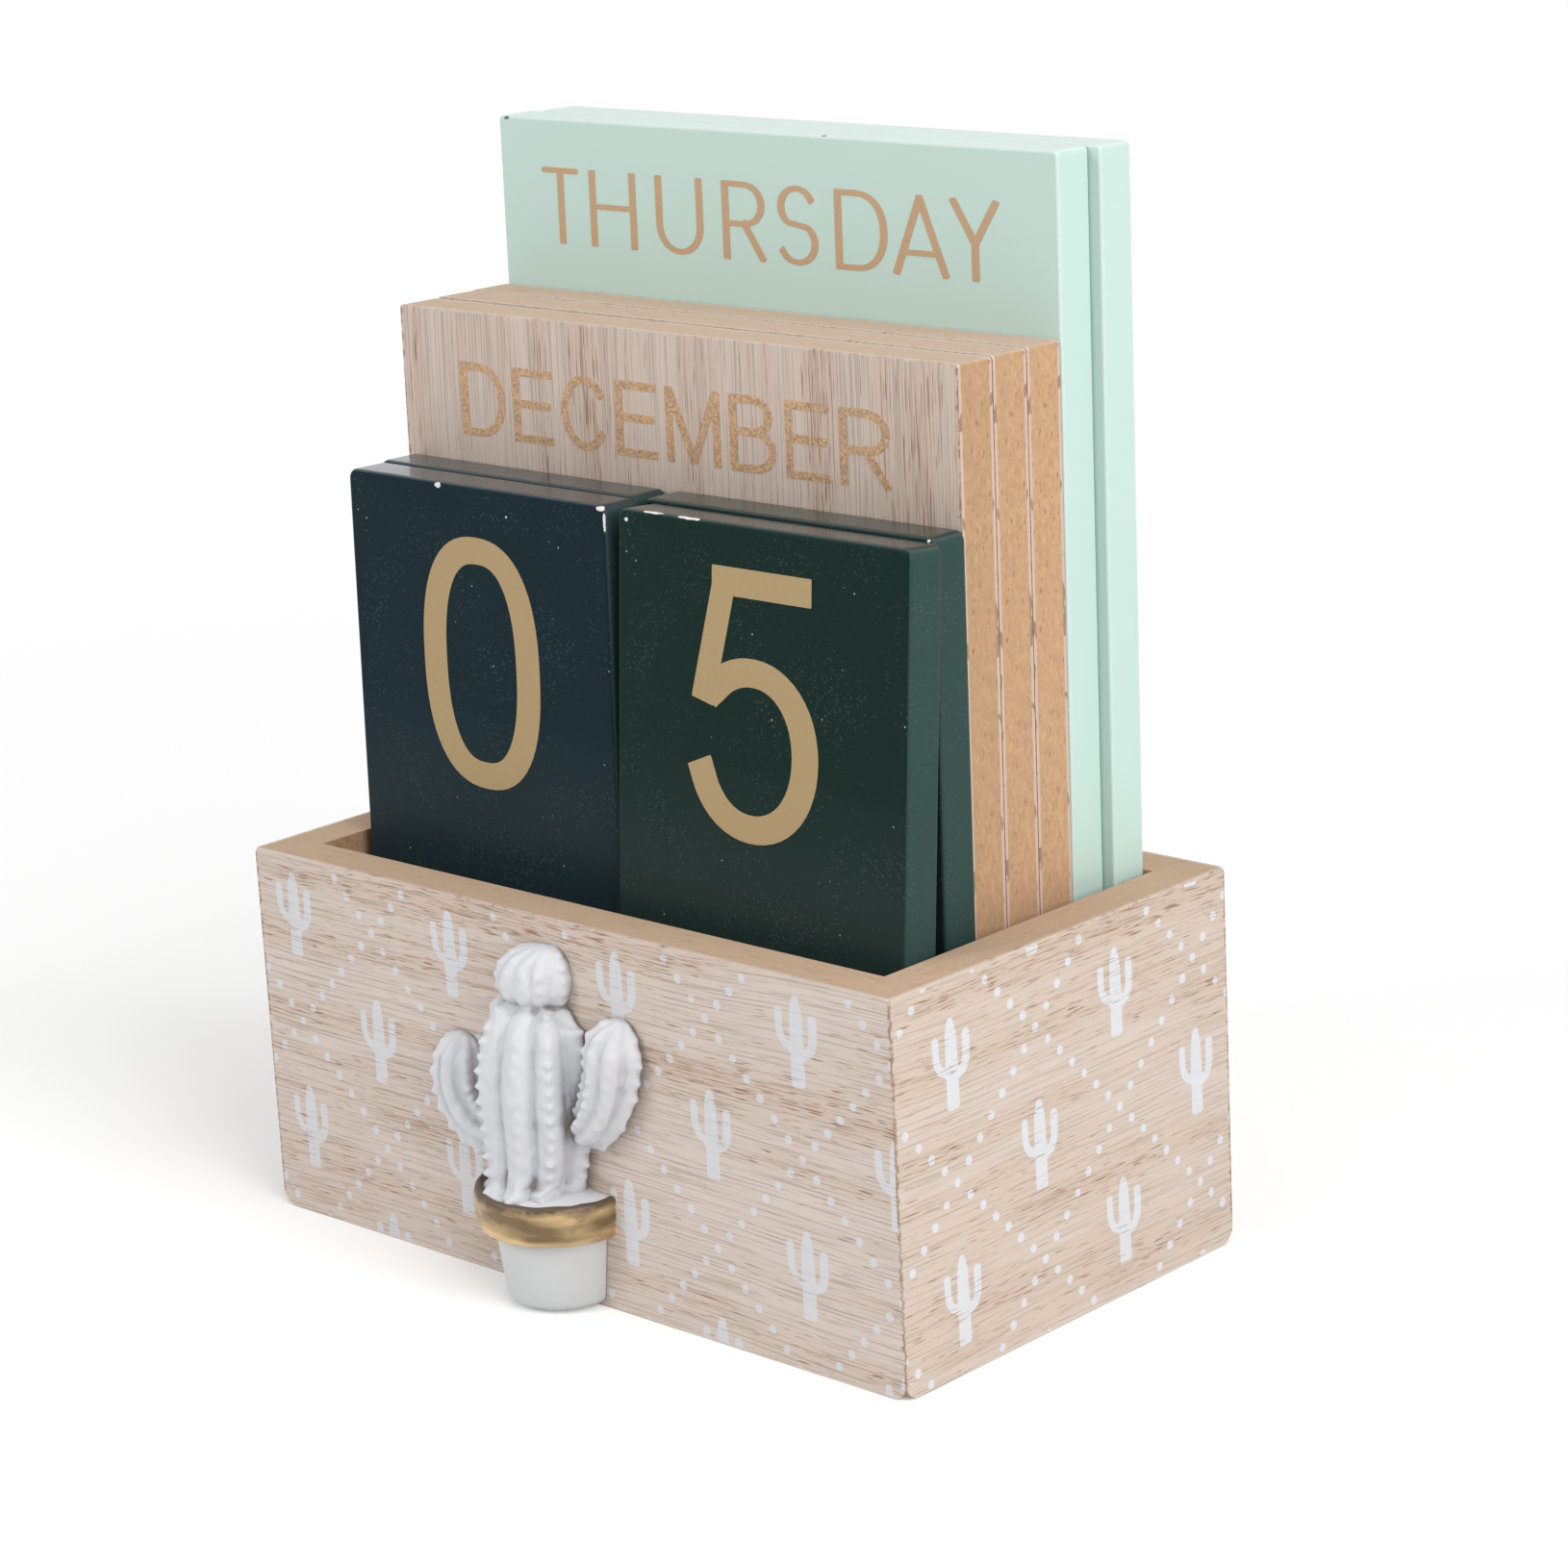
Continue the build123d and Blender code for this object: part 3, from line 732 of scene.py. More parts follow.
def sprayed_mint(name, place, size, settings, chips):
    """Mint alkyd paint, sprayed on sanded board.
    It shows a smooth satin face with a few dark flecks 0.4 mm across, and a paler colour on the top and the
    arrises: partly thin paint, partly painted light on the top and a painted highlight along the arrises."""
    material, tree = new_finish(name)
    here = board_millimetres(tree, place)
    paint = settings.mint
    slow = add(tree, "TexNoise", {"Vector": here, "Scale": 0.06, "Detail": 3.0})
    ragged = add(tree, "TexNoise", {"Vector": here, "Scale": 1.3, "Detail": 4.0, "Roughness": 0.7})
    flecks = add(tree, "Math", (specks(tree, here, 0.11, 0.5, 0.022), 0.55), operation="MULTIPLY")
    # Painted light: the top and the arrises take a paler colour, partly for thin paint and partly as painted
    # light on the top and a painted highlight along the arrises.
    edge = edge_distance(tree, here, size)
    frayed = add(tree, "Math", (ragged, 0.6, edge), operation="MULTIPLY_ADD")
    thin_paint_and_edge_highlight = add(tree, "MapRange", (frayed, 0.35, 0.75, 0.5, 0.0))
    top = add(tree, "Math", (top_share(tree, place), 0.55), operation="MULTIPLY")
    thin = add(tree, "Math", (thin_paint_and_edge_highlight, top), operation="MAXIMUM")
    shown = layered(
        tree, rgba(paint), (slow, rgba(paint, 0.965)), (flecks, rgba(paint, 0.25)),
        (thin, rgba([c * 0.4 + 0.55 for c in paint])),
        (lost_paint(tree, here, ragged, chips), rgba(settings.mint_chip)),
    )
    peel = add(tree, "TexNoise", {"Vector": here, "Scale": 0.9, "Detail": 2.0})
    surface(tree, {
        "Base Color": shown,
        "Roughness": add(tree, "MapRange", (slow, 0.0, 1.0, 0.42, 0.52)),
        "Specular IOR Level": 0.5,
        "Normal": add(tree, "Bump", {"Height": peel, "Strength": 0.12, "Distance": 0.02 * MM}),
    })
    return material


def pressed_foil(name, place, gold, metallic, roughness):
    """Hot pressed gold foil on paint.
    It shows an even satin gold with a fine grit from the paint under it and a few scuffs, and only a little
    mirror."""
    material, tree = new_finish(name)
    here = board_millimetres(tree, place)
    # The grit of the paint is about 0.1 mm and is drawn at 0.25 mm so that it shows.
    grit = add(tree, "TexNoise", {"Vector": here, "Scale": 4.0, "Detail": 3.0, "Roughness": 0.7})
    scuffs = drawn_out(tree, here, (0.25, 2.5, 1.0), 2.0)
    scuff = add(tree, "MapRange", (scuffs, 0.7, 0.8, 0.0, 0.5))
    tinted = layered(tree, rgba(gold, 0.86), (grit, rgba(gold, 1.12)), (scuff, rgba(gold, 0.6)))
    bump = add(tree, "Bump", {"Height": grit, "Strength": 0.2, "Distance": 0.02 * MM})
    surface(tree, {"Base Color": tinted, "Metallic": metallic, "Roughness": roughness, "Normal": bump})
    return material


def painted_resin(name, paint, hollow, grime_and_shade, roughness):
    """Polyester resin, cast in a rubber mould and brushed with white paint.
    It shows a soft brush ripple about 2 mm wide, pinholes up to 0.4 mm across from the cast, a cool grey
    painted shade in the hollows, and a darker colour in the deepest ones that is partly dirt and partly
    painted shade."""
    material, tree = new_finish(name)
    here = add(tree, "TexCoord", out="Object")
    ripple = add(tree, "TexNoise", {"Vector": here, "Scale": 0.5 / MM, "Detail": 3.0})
    pinholes = specks(tree, here, 0.28 / MM, 0.72, 0.06)
    # Painted shade: the stored occlusion share darkens the paint to the hollow grey, and in the deepest
    # places to a darker colour that is partly dirt.
    deep = add(tree, "Attribute", out="Fac", attribute_name=SHADE_ATTRIBUTE)
    shade = add(tree, "Math", (ripple, 0.14, deep), operation="MULTIPLY_ADD", use_clamp=True)
    deepest = add(tree, "MapRange", (deep, 0.56, 0.95, 0.0, 0.9))
    shown = layered(
        tree, rgba(paint), (shade, rgba(hollow)), (deepest, rgba(grime_and_shade)), (pinholes, rgba(grime_and_shade, 0.7))
    )
    bump = add(tree, "Bump", {"Height": ripple, "Strength": 0.6, "Distance": 0.12 * MM})
    surface(tree, {"Base Color": shown, "Roughness": roughness, "Normal": bump, "Specular IOR Level": 0.35})
    return material


def brushed_gold_paint(name, gold, thin, top):
    """Gold acrylic paint, brushed by hand on resin.
    It shows bright ridges along the brush, brown where the paint is thin and along the upper edge, whose
    height top is in millimetres, and a broken satin gloss."""
    material, tree = new_finish(name)
    here = add(tree, "TexCoord", out="Object")
    strokes = drawn_out(tree, here, (0.09 / MM, 0.09 / MM, 0.34 / MM), 2.5, 0.55)
    blots = add(tree, "TexNoise", {"Vector": here, "Scale": 0.3 / MM, "Detail": 4.0, "Roughness": 0.6})
    bare = add(tree, "MapRange", (blots, 0.58, 0.72, 0.0, 0.8))
    height = add(tree, "SeparateXYZ", (here,), "Z")
    torn = add(tree, "Math", (blots, 2.4 * MM, height), operation="MULTIPLY_ADD")
    edge = add(tree, "MapRange", (torn, (top - 0.3) * MM, (top + 0.8) * MM))
    thinned = add(tree, "Math", (bare, edge), operation="MAXIMUM")
    ridges = add(tree, "MapRange", (strokes, 0.36, 0.64))
    surface(tree, {
        "Base Color": layered(tree, rgba(gold, 0.5), (ridges, rgba(gold, 1.7)), (thinned, rgba(thin))),
        "Metallic": add(tree, "MapRange", (thinned, 0.0, 1.0, 0.85, 0.15)),
        "Roughness": add(tree, "MapRange", (strokes, 0.0, 1.0, 0.22, 0.55)),
        "Normal": add(tree, "Bump", {"Height": strokes, "Strength": 0.8, "Distance": 0.3 * MM}),
    })
    return material


# -------------------------------------------------------------------------------- the tray and its print


def on_wall(point, width, radius):
    """Whether a point of the print lies inside the rounded foot corners of the wall."""
    x, y = point
    centre = radius if x < radius else width - radius if x > width - radius else None
    return centre is None or y > radius or math.hypot(x - centre, y - radius) <= radius


def plant_shape(height):
    """Outlines of one printed plant, a plain column cactus with two arms, about the middle of its foot."""
    # Per arm: its side, how far below the top of the stem it ends and joins the stem, and its width.
    arms = ((-1, 2.1, 6.9, 1.2), (1, 2.4, 7.6, 1.4))
    stem = [
        (0, 0.5, 0.98), (0, 4.2, 0.94), (0, 5.6, 1.0), (0, height - 4, 0.92), (0, height - 2, 0.84),
        (0, height - 1.2, 0.68),
    ]
    outlines = stroke(stem, (2.35, 1.0), 0.3)
    outlines.append(arc(0, height - 1.0, 0.72, 1.0, 0, 330, 11))
    for side, top, join, pen in arms:
        out = side * (3.45 - pen / 2)
        high, low = height - top - pen / 2, height - join
        bend = [(out * 0.99, low + 2.4), (out * 0.93, low + 1.5), (out * 0.74, low + 0.6)]
        outlines += stroke([(out, high), *bend, (side * 0.5, low - 0.1)], (pen, pen), 0.1)
        outlines.append(arc(out, high + pen * 0.25, pen / 2, pen / 2, 0, 330, 11))
    # The fork between the arms is filled up a little by the ink.
    outlines.append([(-2.2, height - 6.6), (0, height - 8.6), (2.3, height - 7.2), (0, height - 5.6)])
    return outlines


def wall_print(width, height, first, pitch, rise, plant, dot, steps, tilt):
    """Outlines of the print of one wall: rows of plants, and dotted lines that cross midway between them.
    first is the top of one plant; the whole print is tilted about that point."""
    outlines = []
    shape = plant_shape(plant)
    turn = Matrix.Rotation(tilt, 2)
    reach = 5  # rows and columns on each side of the first plant, more than fill a wall
    for row in range(-reach, reach + 1):
        for column in range(-reach, reach + 1):
            centre = Vector(((column + (row % 2) / 2) * pitch, -row * rise))
            for outline in shape:
                outlines.append([turn @ (centre + Vector((x, y - plant))) for x, y in outline])
            crossing = centre + Vector((pitch / 2, -plant / 2))
            for k in range(steps):
                for fall in (1, -1):
                    if k == 0 and fall < 0:
                        continue
                    x = crossing.x + k * pitch / 2 / steps
                    y = crossing.y - fall * k * rise / steps
                    size = dot / 2 * (1 + 0.12 * noise.noise(Vector((x, y, 0.5))))
                    outlines.append([turn @ Vector(p) for p in arc(x, y, size, size * 1.04, 0, 330, 11)])
    margin, radius = 0.25, 2.8  # the print ends short of the edges and of the rounded foot corners
    kept = []
    for outline in outlines:
        moved = [(first[0] + p.x - margin, first[1] + p.y - margin) for p in outline]
        if all(p[0] < 0 or p[0] > width or p[1] < 0 or p[1] > height for p in moved):
            continue
        cut = clipped(moved, width - 2 * margin, height - 2 * margin)
        placed = [(x + margin, y + margin) for x, y in cut]
        if placed and all(on_wall(p, width, radius - margin) for p in placed):
            kept.append(placed)
    return kept


# Per wall: the top of one printed plant from the lower left corner, in millimetres, the scale of the pitch
# and of the rows, the tilt in degrees, and the share of the veneer that the ink covers with what the streaks
# take from it.
PRINTS = {
    "front": ((7.2, 49.2), 1.0, 1.0, 0.0, (0.93, 0.14)),
    "right": ((10.6, 46.4), 1.023, 1.01, 0.8, (0.97, 0.07)),
    "back": ((12.4, 47.6), 1.0, 1.0, 0.3, (0.93, 0.14)),
    "left": ((14.0, 44.9), 1.01, 1.0, -0.4, (0.97, 0.07)),
}


class CALENDAR_OT_tray(bpy.types.Operator):
    """Finish the walls, the bottom and the veneers of the tray, and print the veneers"""

    bl_idname = "calendar.tray"
    bl_label = "Tray and print"

    def execute(self, context):
        finishes, ink = context.scene.calendar_finishes, context.scene.calendar_print
        for wall, facing in WALLS.items():
            light, streak = finishes.tray_veneer, finishes.tray_streak
            if wall in ("left", "right"):
                light, streak = finishes.end_veneer, finishes.end_streak
            tones = (light, streak, finishes.tray_pore, finishes.lip)
            place, size = flat_face([f"{wall}_veneer"], facing)
            dress(f"{wall}_veneer", limed_veneer(f"limed_veneer_{wall}", place, size, True, tones))
            inner, _ = flat_face([f"{wall}_panel"], facing)
            dress(f"{wall}_panel", bare_board(f"bare_board_{wall}", inner, finishes, finishes.tray_top))
            first, pitch_scale, rise_scale, tilt, hold = PRINTS[wall]
            outlines = wall_print(
                size[0] / MM, size[1] / MM, first, ink.pitch / MM * pitch_scale, ink.rise / MM * rise_scale,
                ink.plant / MM, ink.dot / MM, ink.steps, math.radians(tilt),
            )
            corners, faces = sheet(outlines, ink.film / MM)
            coat = (ink.white, *hold, 0.0)
            inked = limed_veneer(f"white_ink_{wall}", place, size, True, tones, coat)
            new_piece(f"{wall}_print", [place @ (p * MM) for p in corners], faces, inked, "tray")
        bottom, _ = flat_face(["bottom_panel"], FRONT)
        dress("bottom_panel", bare_board("bare_board_bottom", bottom, finishes, finishes.board))
        return {"FINISHED"}


# -------------------------------------------------------------------------------- boards


# Where paint has come off: a place on the board and the half lengths of the bare spot, in millimetres.
CHIPS = {
    "date_tile_front_left": (
        ((17.6, 95.5, 0.0), (0.6, 0.35, 0.45)),
        ((47.9, 95.6, 0.0), (0.8, 0.3, 0.6)),
        ((48.55, 94.0, 0.0), (0.2, 1.5, 0.22)),
        ((30.5, 92.6, 0.0), (0.15, 0.15, 0.2)),
    ),
    "date_tile_front_right": (
        ((6.0, 96.0, -0.2), (2.0, 0.22, 0.32)),
        ((12.2, 95.95, -0.1), (2.2, 0.22, 0.34)),
        ((1.6, 94.6, 0.0), (0.3, 0.25, 0.2)),
    ),
    "date_tile_rear_left": (),
    "date_tile_rear_right": (((48.0, 95.7, 0.0), (0.32, 0.25, 0.3)),),
    "weekday_board_1": (((1.6, 138.7, 0.0), (0.5, 0.25, 0.3)), ((60.0, 139.0, -0.4), (0.4, 0.15, 0.4))),
    "weekday_board_2": (),
}
# How far a digit stands left of its place and above it, and how much taller it is, in millimetres.
DIGIT_SHIFTS = {"5": (-1.0, 0.67, 0.13), "0": (0, -0.13, -0.42)}
WEEKDAY_SHIFT = -0.75  # the weekdays stand a little left of the middle, in millimetres
MONTH_TONES = (0.95, 1.01, 1.04)  # how pale the core of each month board is beside the others
MONTH_STRETCH = 1.8  # how much longer the streaks of the month veneers are than those of the tray


class CALENDAR_OT_tiles(bpy.types.Operator):
    """Paint the four date tiles and press their gold digits"""

    bl_idname = "calendar.tiles"
    bl_label = "Date tiles"

    def execute(self, context):
        finishes, lettering = context.scene.calendar_finishes, context.scene.calendar_lettering
        pen = (lettering.digit_stem / MM, lettering.digit_bar / MM)
        wide, tall = lettering.digit_width / MM, lettering.digit_height / MM
        top = lettering.digit_top / MM

        def draw(digit, width, height):
            left, raised, grown = DIGIT_SHIFTS.get(digit, (0, 0, 0))
            foot = height - top - tall + raised
            return sign(digit, (width - wide) / 2 + left, foot, wide, tall + grown, pen)

        for board, faces in TILES.items():
            place, size = flat_face([board], FRONT)
            paint = finishes.teal if board.endswith("left") else finishes.green
            dress(board, sprayed_tile(f"sprayed_{board}", place, size, paint, finishes, CHIPS[board]))
            foil = pressed_foil(f"pale_gold_foil_{board}", place, lettering.digit_gold, 0.25, 0.5)
            gild(board, [board], foil, faces, draw, lettering.foil)
        return {"FINISHED"}


class CALENDAR_OT_months(bpy.types.Operator):
    """Finish the cores and veneers of the month boards and print their names in gold"""

    bl_idname = "calendar.months"
    bl_label = "Month boards"

    def execute(self, context):
        finishes, lettering = context.scene.calendar_finishes, context.scene.calendar_lettering
        tones = (finishes.month_veneer, finishes.month_streak, finishes.month_pore, finishes.lip)
        pen = (lettering.month_stem / MM, lettering.month_bar / MM)
        cap, top = lettering.month_cap / MM, lettering.month_top / MM
        widths = {c: (MONTH_GAP, w, MONTH_GAP) for c, w in MONTH_WIDTHS.items()}
        flaked = (lettering.month_gold, 0.93, 0.3, 0.6)

        def draw(name, width, height):
            return word(name, widths, width / 2, height - top - cap, cap, pen)

        for (board, faces), tone in zip(MONTHS.items(), MONTH_TONES):
            core, *veneers = parts = [f"{board}_core", f"{board}_front_veneer", f"{board}_back_veneer"]
            place, size = flat_face(parts, FRONT)
            dress(core, bare_board(f"bare_board_{board}", place, finishes, finishes.board_top, tone))
            limed = limed_veneer(f"limed_veneer_{board}", place, size, False, tones, None, MONTH_STRETCH)
            for veneer in veneers:
                dress(veneer, limed)
            gold = limed_veneer(f"flaked_gold_ink_{board}", place, size, False, tones, flaked, MONTH_STRETCH)
            gild(board, parts, gold, faces, draw, lettering.foil)
        return {"FINISHED"}


class CALENDAR_OT_weekdays(bpy.types.Operator):
    """Paint the weekday boards and press their names in rose gold"""

    bl_idname = "calendar.weekdays"
    bl_label = "Weekday boards"

    def execute(self, context):
        finishes, lettering = context.scene.calendar_finishes, context.scene.calendar_lettering
        pen = (lettering.weekday_stem / MM, lettering.weekday_bar / MM)
        cap, top = lettering.weekday_cap / MM, lettering.weekday_top / MM

        def draw(name, width, height):
            return word(name, WEEKDAY_WIDTHS, width / 2 + WEEKDAY_SHIFT, height - top - cap, cap, pen)

        for board, faces in WEEKDAYS.items():
            place, size = flat_face([board], FRONT)
            dress(board, sprayed_mint(f"sprayed_{board}", place, size, finishes, CHIPS[board]))
            foil = pressed_foil(f"rose_gold_foil_{board}", place, lettering.weekday_gold, 0.3, 0.45)
            gild(board, [board], foil, faces, draw, lettering.foil)
        return {"FINISHED"}


# -------------------------------------------------------------------------------- the cactus

WALL = -32.45  # the back of the cast pieces, just inside the front of the tray, in millimetres
# The stored value is the share of blocked rays around a point, which the resin paint turns into painted
# shade.
SHADE_ATTRIBUTE = "hollow"  # where the depth of each point of a cast is stored for its paint


def smooth_line(points, count):
    """Evenly stepped points on a smooth curve through the given ones, each a tuple of the same length."""
    spans = len(points) - 1
    line = []
    for i in range(count + 1):
        at = min(i / count * spans, spans - 1e-9)
        k = int(at)
        t = at - k
        point = []
        for a, b, c, d in zip(*(points[max(0, min(spans, k + j))] for j in (-1, 0, 1, 2))):
            most = 2 * b + (c - a) * t + (2 * a - 5 * b + 4 * c - d) * t * t
            point.append(0.5 * (most + (3 * b - a - 3 * c + d) * t * t * t))
        line.append(tuple(point))
    return line


def limb(stations, ribs, groove, tooth, spacing, seed, level=False, steps=170, around=150):
    """A ribbed limb with spines along its ribs. Each station is x, z, distance from the wall, half width and
    depth share. ribs are pairs of an angle, from the right round to the front, in degrees, and the share of
    a full spine there; groove is the depth of the creases between ribs as a share of the radius. The cuts
    across a level limb stay level, those of others are square to the limb."""
    line = smooth_line(stations, steps)
    corners, faces = [], []
    travelled = 0.0
    for i, (x, z, stand, radius, share) in enumerate(line):
        ahead, behind = line[min(i + 1, steps)], line[max(i - 1, 0)]
        dx, dz = ahead[0] - behind[0], ahead[1] - behind[1]
        size = math.hypot(dx, dz) or 1.0
        side = (1.0, 0.0) if level else (dz / size, -dx / size)
        if i:
            travelled += math.dist(line[i][:2], line[i - 1][:2])
        for j in range(around):
            angle = 360 * j / around
            c, s = math.cos(math.radians(angle)), math.sin(math.radians(angle))
            gaps = sorted((abs((angle - at + 180) % 360 - 180), at, strength) for at, strength in ribs)
            near, rib, strength = gaps[0]
            valley = min(1, 2 * near / (near + gaps[1][0]))
            hollow = groove * valley**1.8
            # The spines of each rib start elsewhere, wander along it and differ in height.
            wobble = 0.16 * noise.noise(Vector((travelled * 0.6, rib, seed)))
            phase = travelled / spacing + 0.37 * math.sin(rib * 1.7 + seed) + wobble
            beat = max(0.0, 1 - abs(phase % 1 - 0.5) * 3.1) ** 0.8
            beat *= 1 + 1.2 * noise.noise(Vector((math.floor(phase) * 1.3 + 0.5, rib * 0.7, seed + 0.5)))
            # Between its spines a rib is a low ridge 1.2 mm wide, and it fades where the limb is thin.
            across = math.radians(near) * radius
            spine = tooth * strength * (0.15 + 0.85 * beat) * math.exp(-((across / 0.6) ** 2))
            spine *= min(1, radius / 2.5)
            dent = 0.2 * noise.noise(Vector((x + radius * c, angle * 0.03, z * 0.6 + seed)))
            r = radius * (1 - hollow) + spine + dent
            corners.append((x + side[0] * c * r, WALL - stand - s * r * share, z + side[1] * c * r))
    for i in range(steps):
        for j in range(around):
            a, b = i * around + j, i * around + (j + 1) % around
            faces.append([a, b, b + around, a + around])
    faces.append(list(range(around))[::-1])
    faces.append([steps * around + j for j in range(around)])
    return corners, faces


def joined_cast(piece, voxel):
    """Joins the overlapping forms of a cast by a fine remesh, softens it and cuts it flat on the wall."""
    remesh = piece.modifiers.new("joined", "REMESH")
    remesh.mode, remesh.voxel_size, remesh.use_smooth_shade = "VOXEL", voxel, True
    smooth = piece.modifiers.new("softened", "SMOOTH")
    smooth.factor, smooth.iterations = 0.5, 1
    graph = bpy.context.evaluated_depsgraph_get()
    mesh = bpy.data.meshes.new_from_object(piece.evaluated_get(graph))
    piece.modifiers.clear()
    work = bmesh.new()
    work.from_mesh(mesh)
    cut = bmesh.ops.bisect_plane(
        work, geom=work.verts[:] + work.edges[:] + work.faces[:],
        plane_co=(0, WALL * MM, 0), plane_no=(0, 1, 0), clear_outer=True,
    )
    rim = [edge for edge in cut["geom_cut"] if isinstance(edge, bmesh.types.BMEdge)]
    bmesh.ops.edgeloop_fill(work, edges=rim)
    work.to_mesh(mesh)
    work.free()
    for material in piece.data.materials:
        if material.name not in mesh.materials:
            mesh.materials.append(material)
    piece.data = mesh
    mesh.shade_smooth()


def store_painted_shade(mesh, depths):
    """Stores the painted shade of each point of a cast, from nothing to one: how deep it lies in a hollow."""
    stored = mesh.attributes.new(SHADE_ATTRIBUTE, "FLOAT", "POINT")
    stored.data.foreach_set("value", depths)


def bake_painted_shade(piece, reach, rays):
    """Stores the painted shade of each point of a cast: how deep it lies in a hollow, as the share of short
    rays from it that meet the cast or the wall behind it."""
    mesh = piece.data
    cast = BVHTree.FromPolygons([v.co for v in mesh.vertices], [p.vertices for p in mesh.polygons])
    ways = []
    for i in range(rays):
        height, turn = 1 - (2 * i + 1) / rays, math.pi * (3 - math.sqrt(5)) * i
        flat = math.sqrt(1 - height * height)
        ways.append(Vector((flat * math.cos(turn), flat * math.sin(turn), height)))
    deep = []
    for vertex in mesh.vertices:
        out = vertex.normal
        start = vertex.co + out * 0.06 * MM
        met = 0
        for way in ways:
            way = way if way.dot(out) > 0 else -way
            to_wall = (WALL * MM - start.y) / way.y if way.y > 0.05 else 1.0
            if to_wall < reach or cast.ray_cast(start, way, reach)[0] is not None:
                met += 1
        deep.append(met / rays)
    work = bmesh.new()
    work.from_mesh(mesh)
    for _ in range(2):
        smoothed = []
        for v in work.verts:
            around = [deep[edge.other_vert(v).index] for edge in v.link_edges]
            smoothed.append((deep[v.index] + sum(around)) / (1 + len(around)))
        deep = smoothed
    work.free()
    store_painted_shade(mesh, [max(0.0, min(1.0, (d - 0.1) * 1.9)) for d in deep])


def shade_back_edge(piece):
    """Stores a full hollow along the edge of a cast that meets the wall, which the paint turns into a painted
    shade along the joint.
    """
    store_painted_shade(piece.data, [float(vertex.co.y > (WALL - 0.1) * MM) for vertex in piece.data.vertices])


def half_turned(profile, x, ripple, ring=False, steps=64):
    """A form turned about an upright line on the wall, of which the front half is kept. Each station of the
    profile is z, half width and depth. A ring has a closed profile and is open in the middle."""
    corners, faces = [], []
    for z, wide, deep in profile:
        for j in range(steps + 1):
            angle = math.pi * j / steps
            out = (x + wide * math.cos(angle), WALL - deep * math.sin(angle))
            uneven = ripple * noise.noise(Vector((out[0] * 0.45, out[1] * 0.45, z * 0.5)))
            drop = ripple * 1.6 * noise.noise(Vector((out[0] * 0.3, out[1] * 0.3, 7.0))) if ring else 0
            back = min(WALL, out[1] - uneven * math.sin(angle))
            corners.append((out[0] + uneven * math.cos(angle), back, z + drop))
    row, count = steps + 1, len(profile)
    for i in range(count if ring else count - 1):
        low, high = i * row, (i + 1) % count * row
        for j in range(steps):
            faces.append([low + j + 1, low + j, high + j, high + j + 1])
        if not ring:
            faces.append([low, low + steps, high + steps, high])
    if ring:
        faces.append([i * row for i in range(count)])
        faces.append([i * row + steps for i in range(count)][::-1])
    else:
        faces.append(list(range(row)))
        faces.append([(count - 1) * row + j for j in range(row)][::-1])
    return [tuple(v * MM for v in c) for c in corners], faces


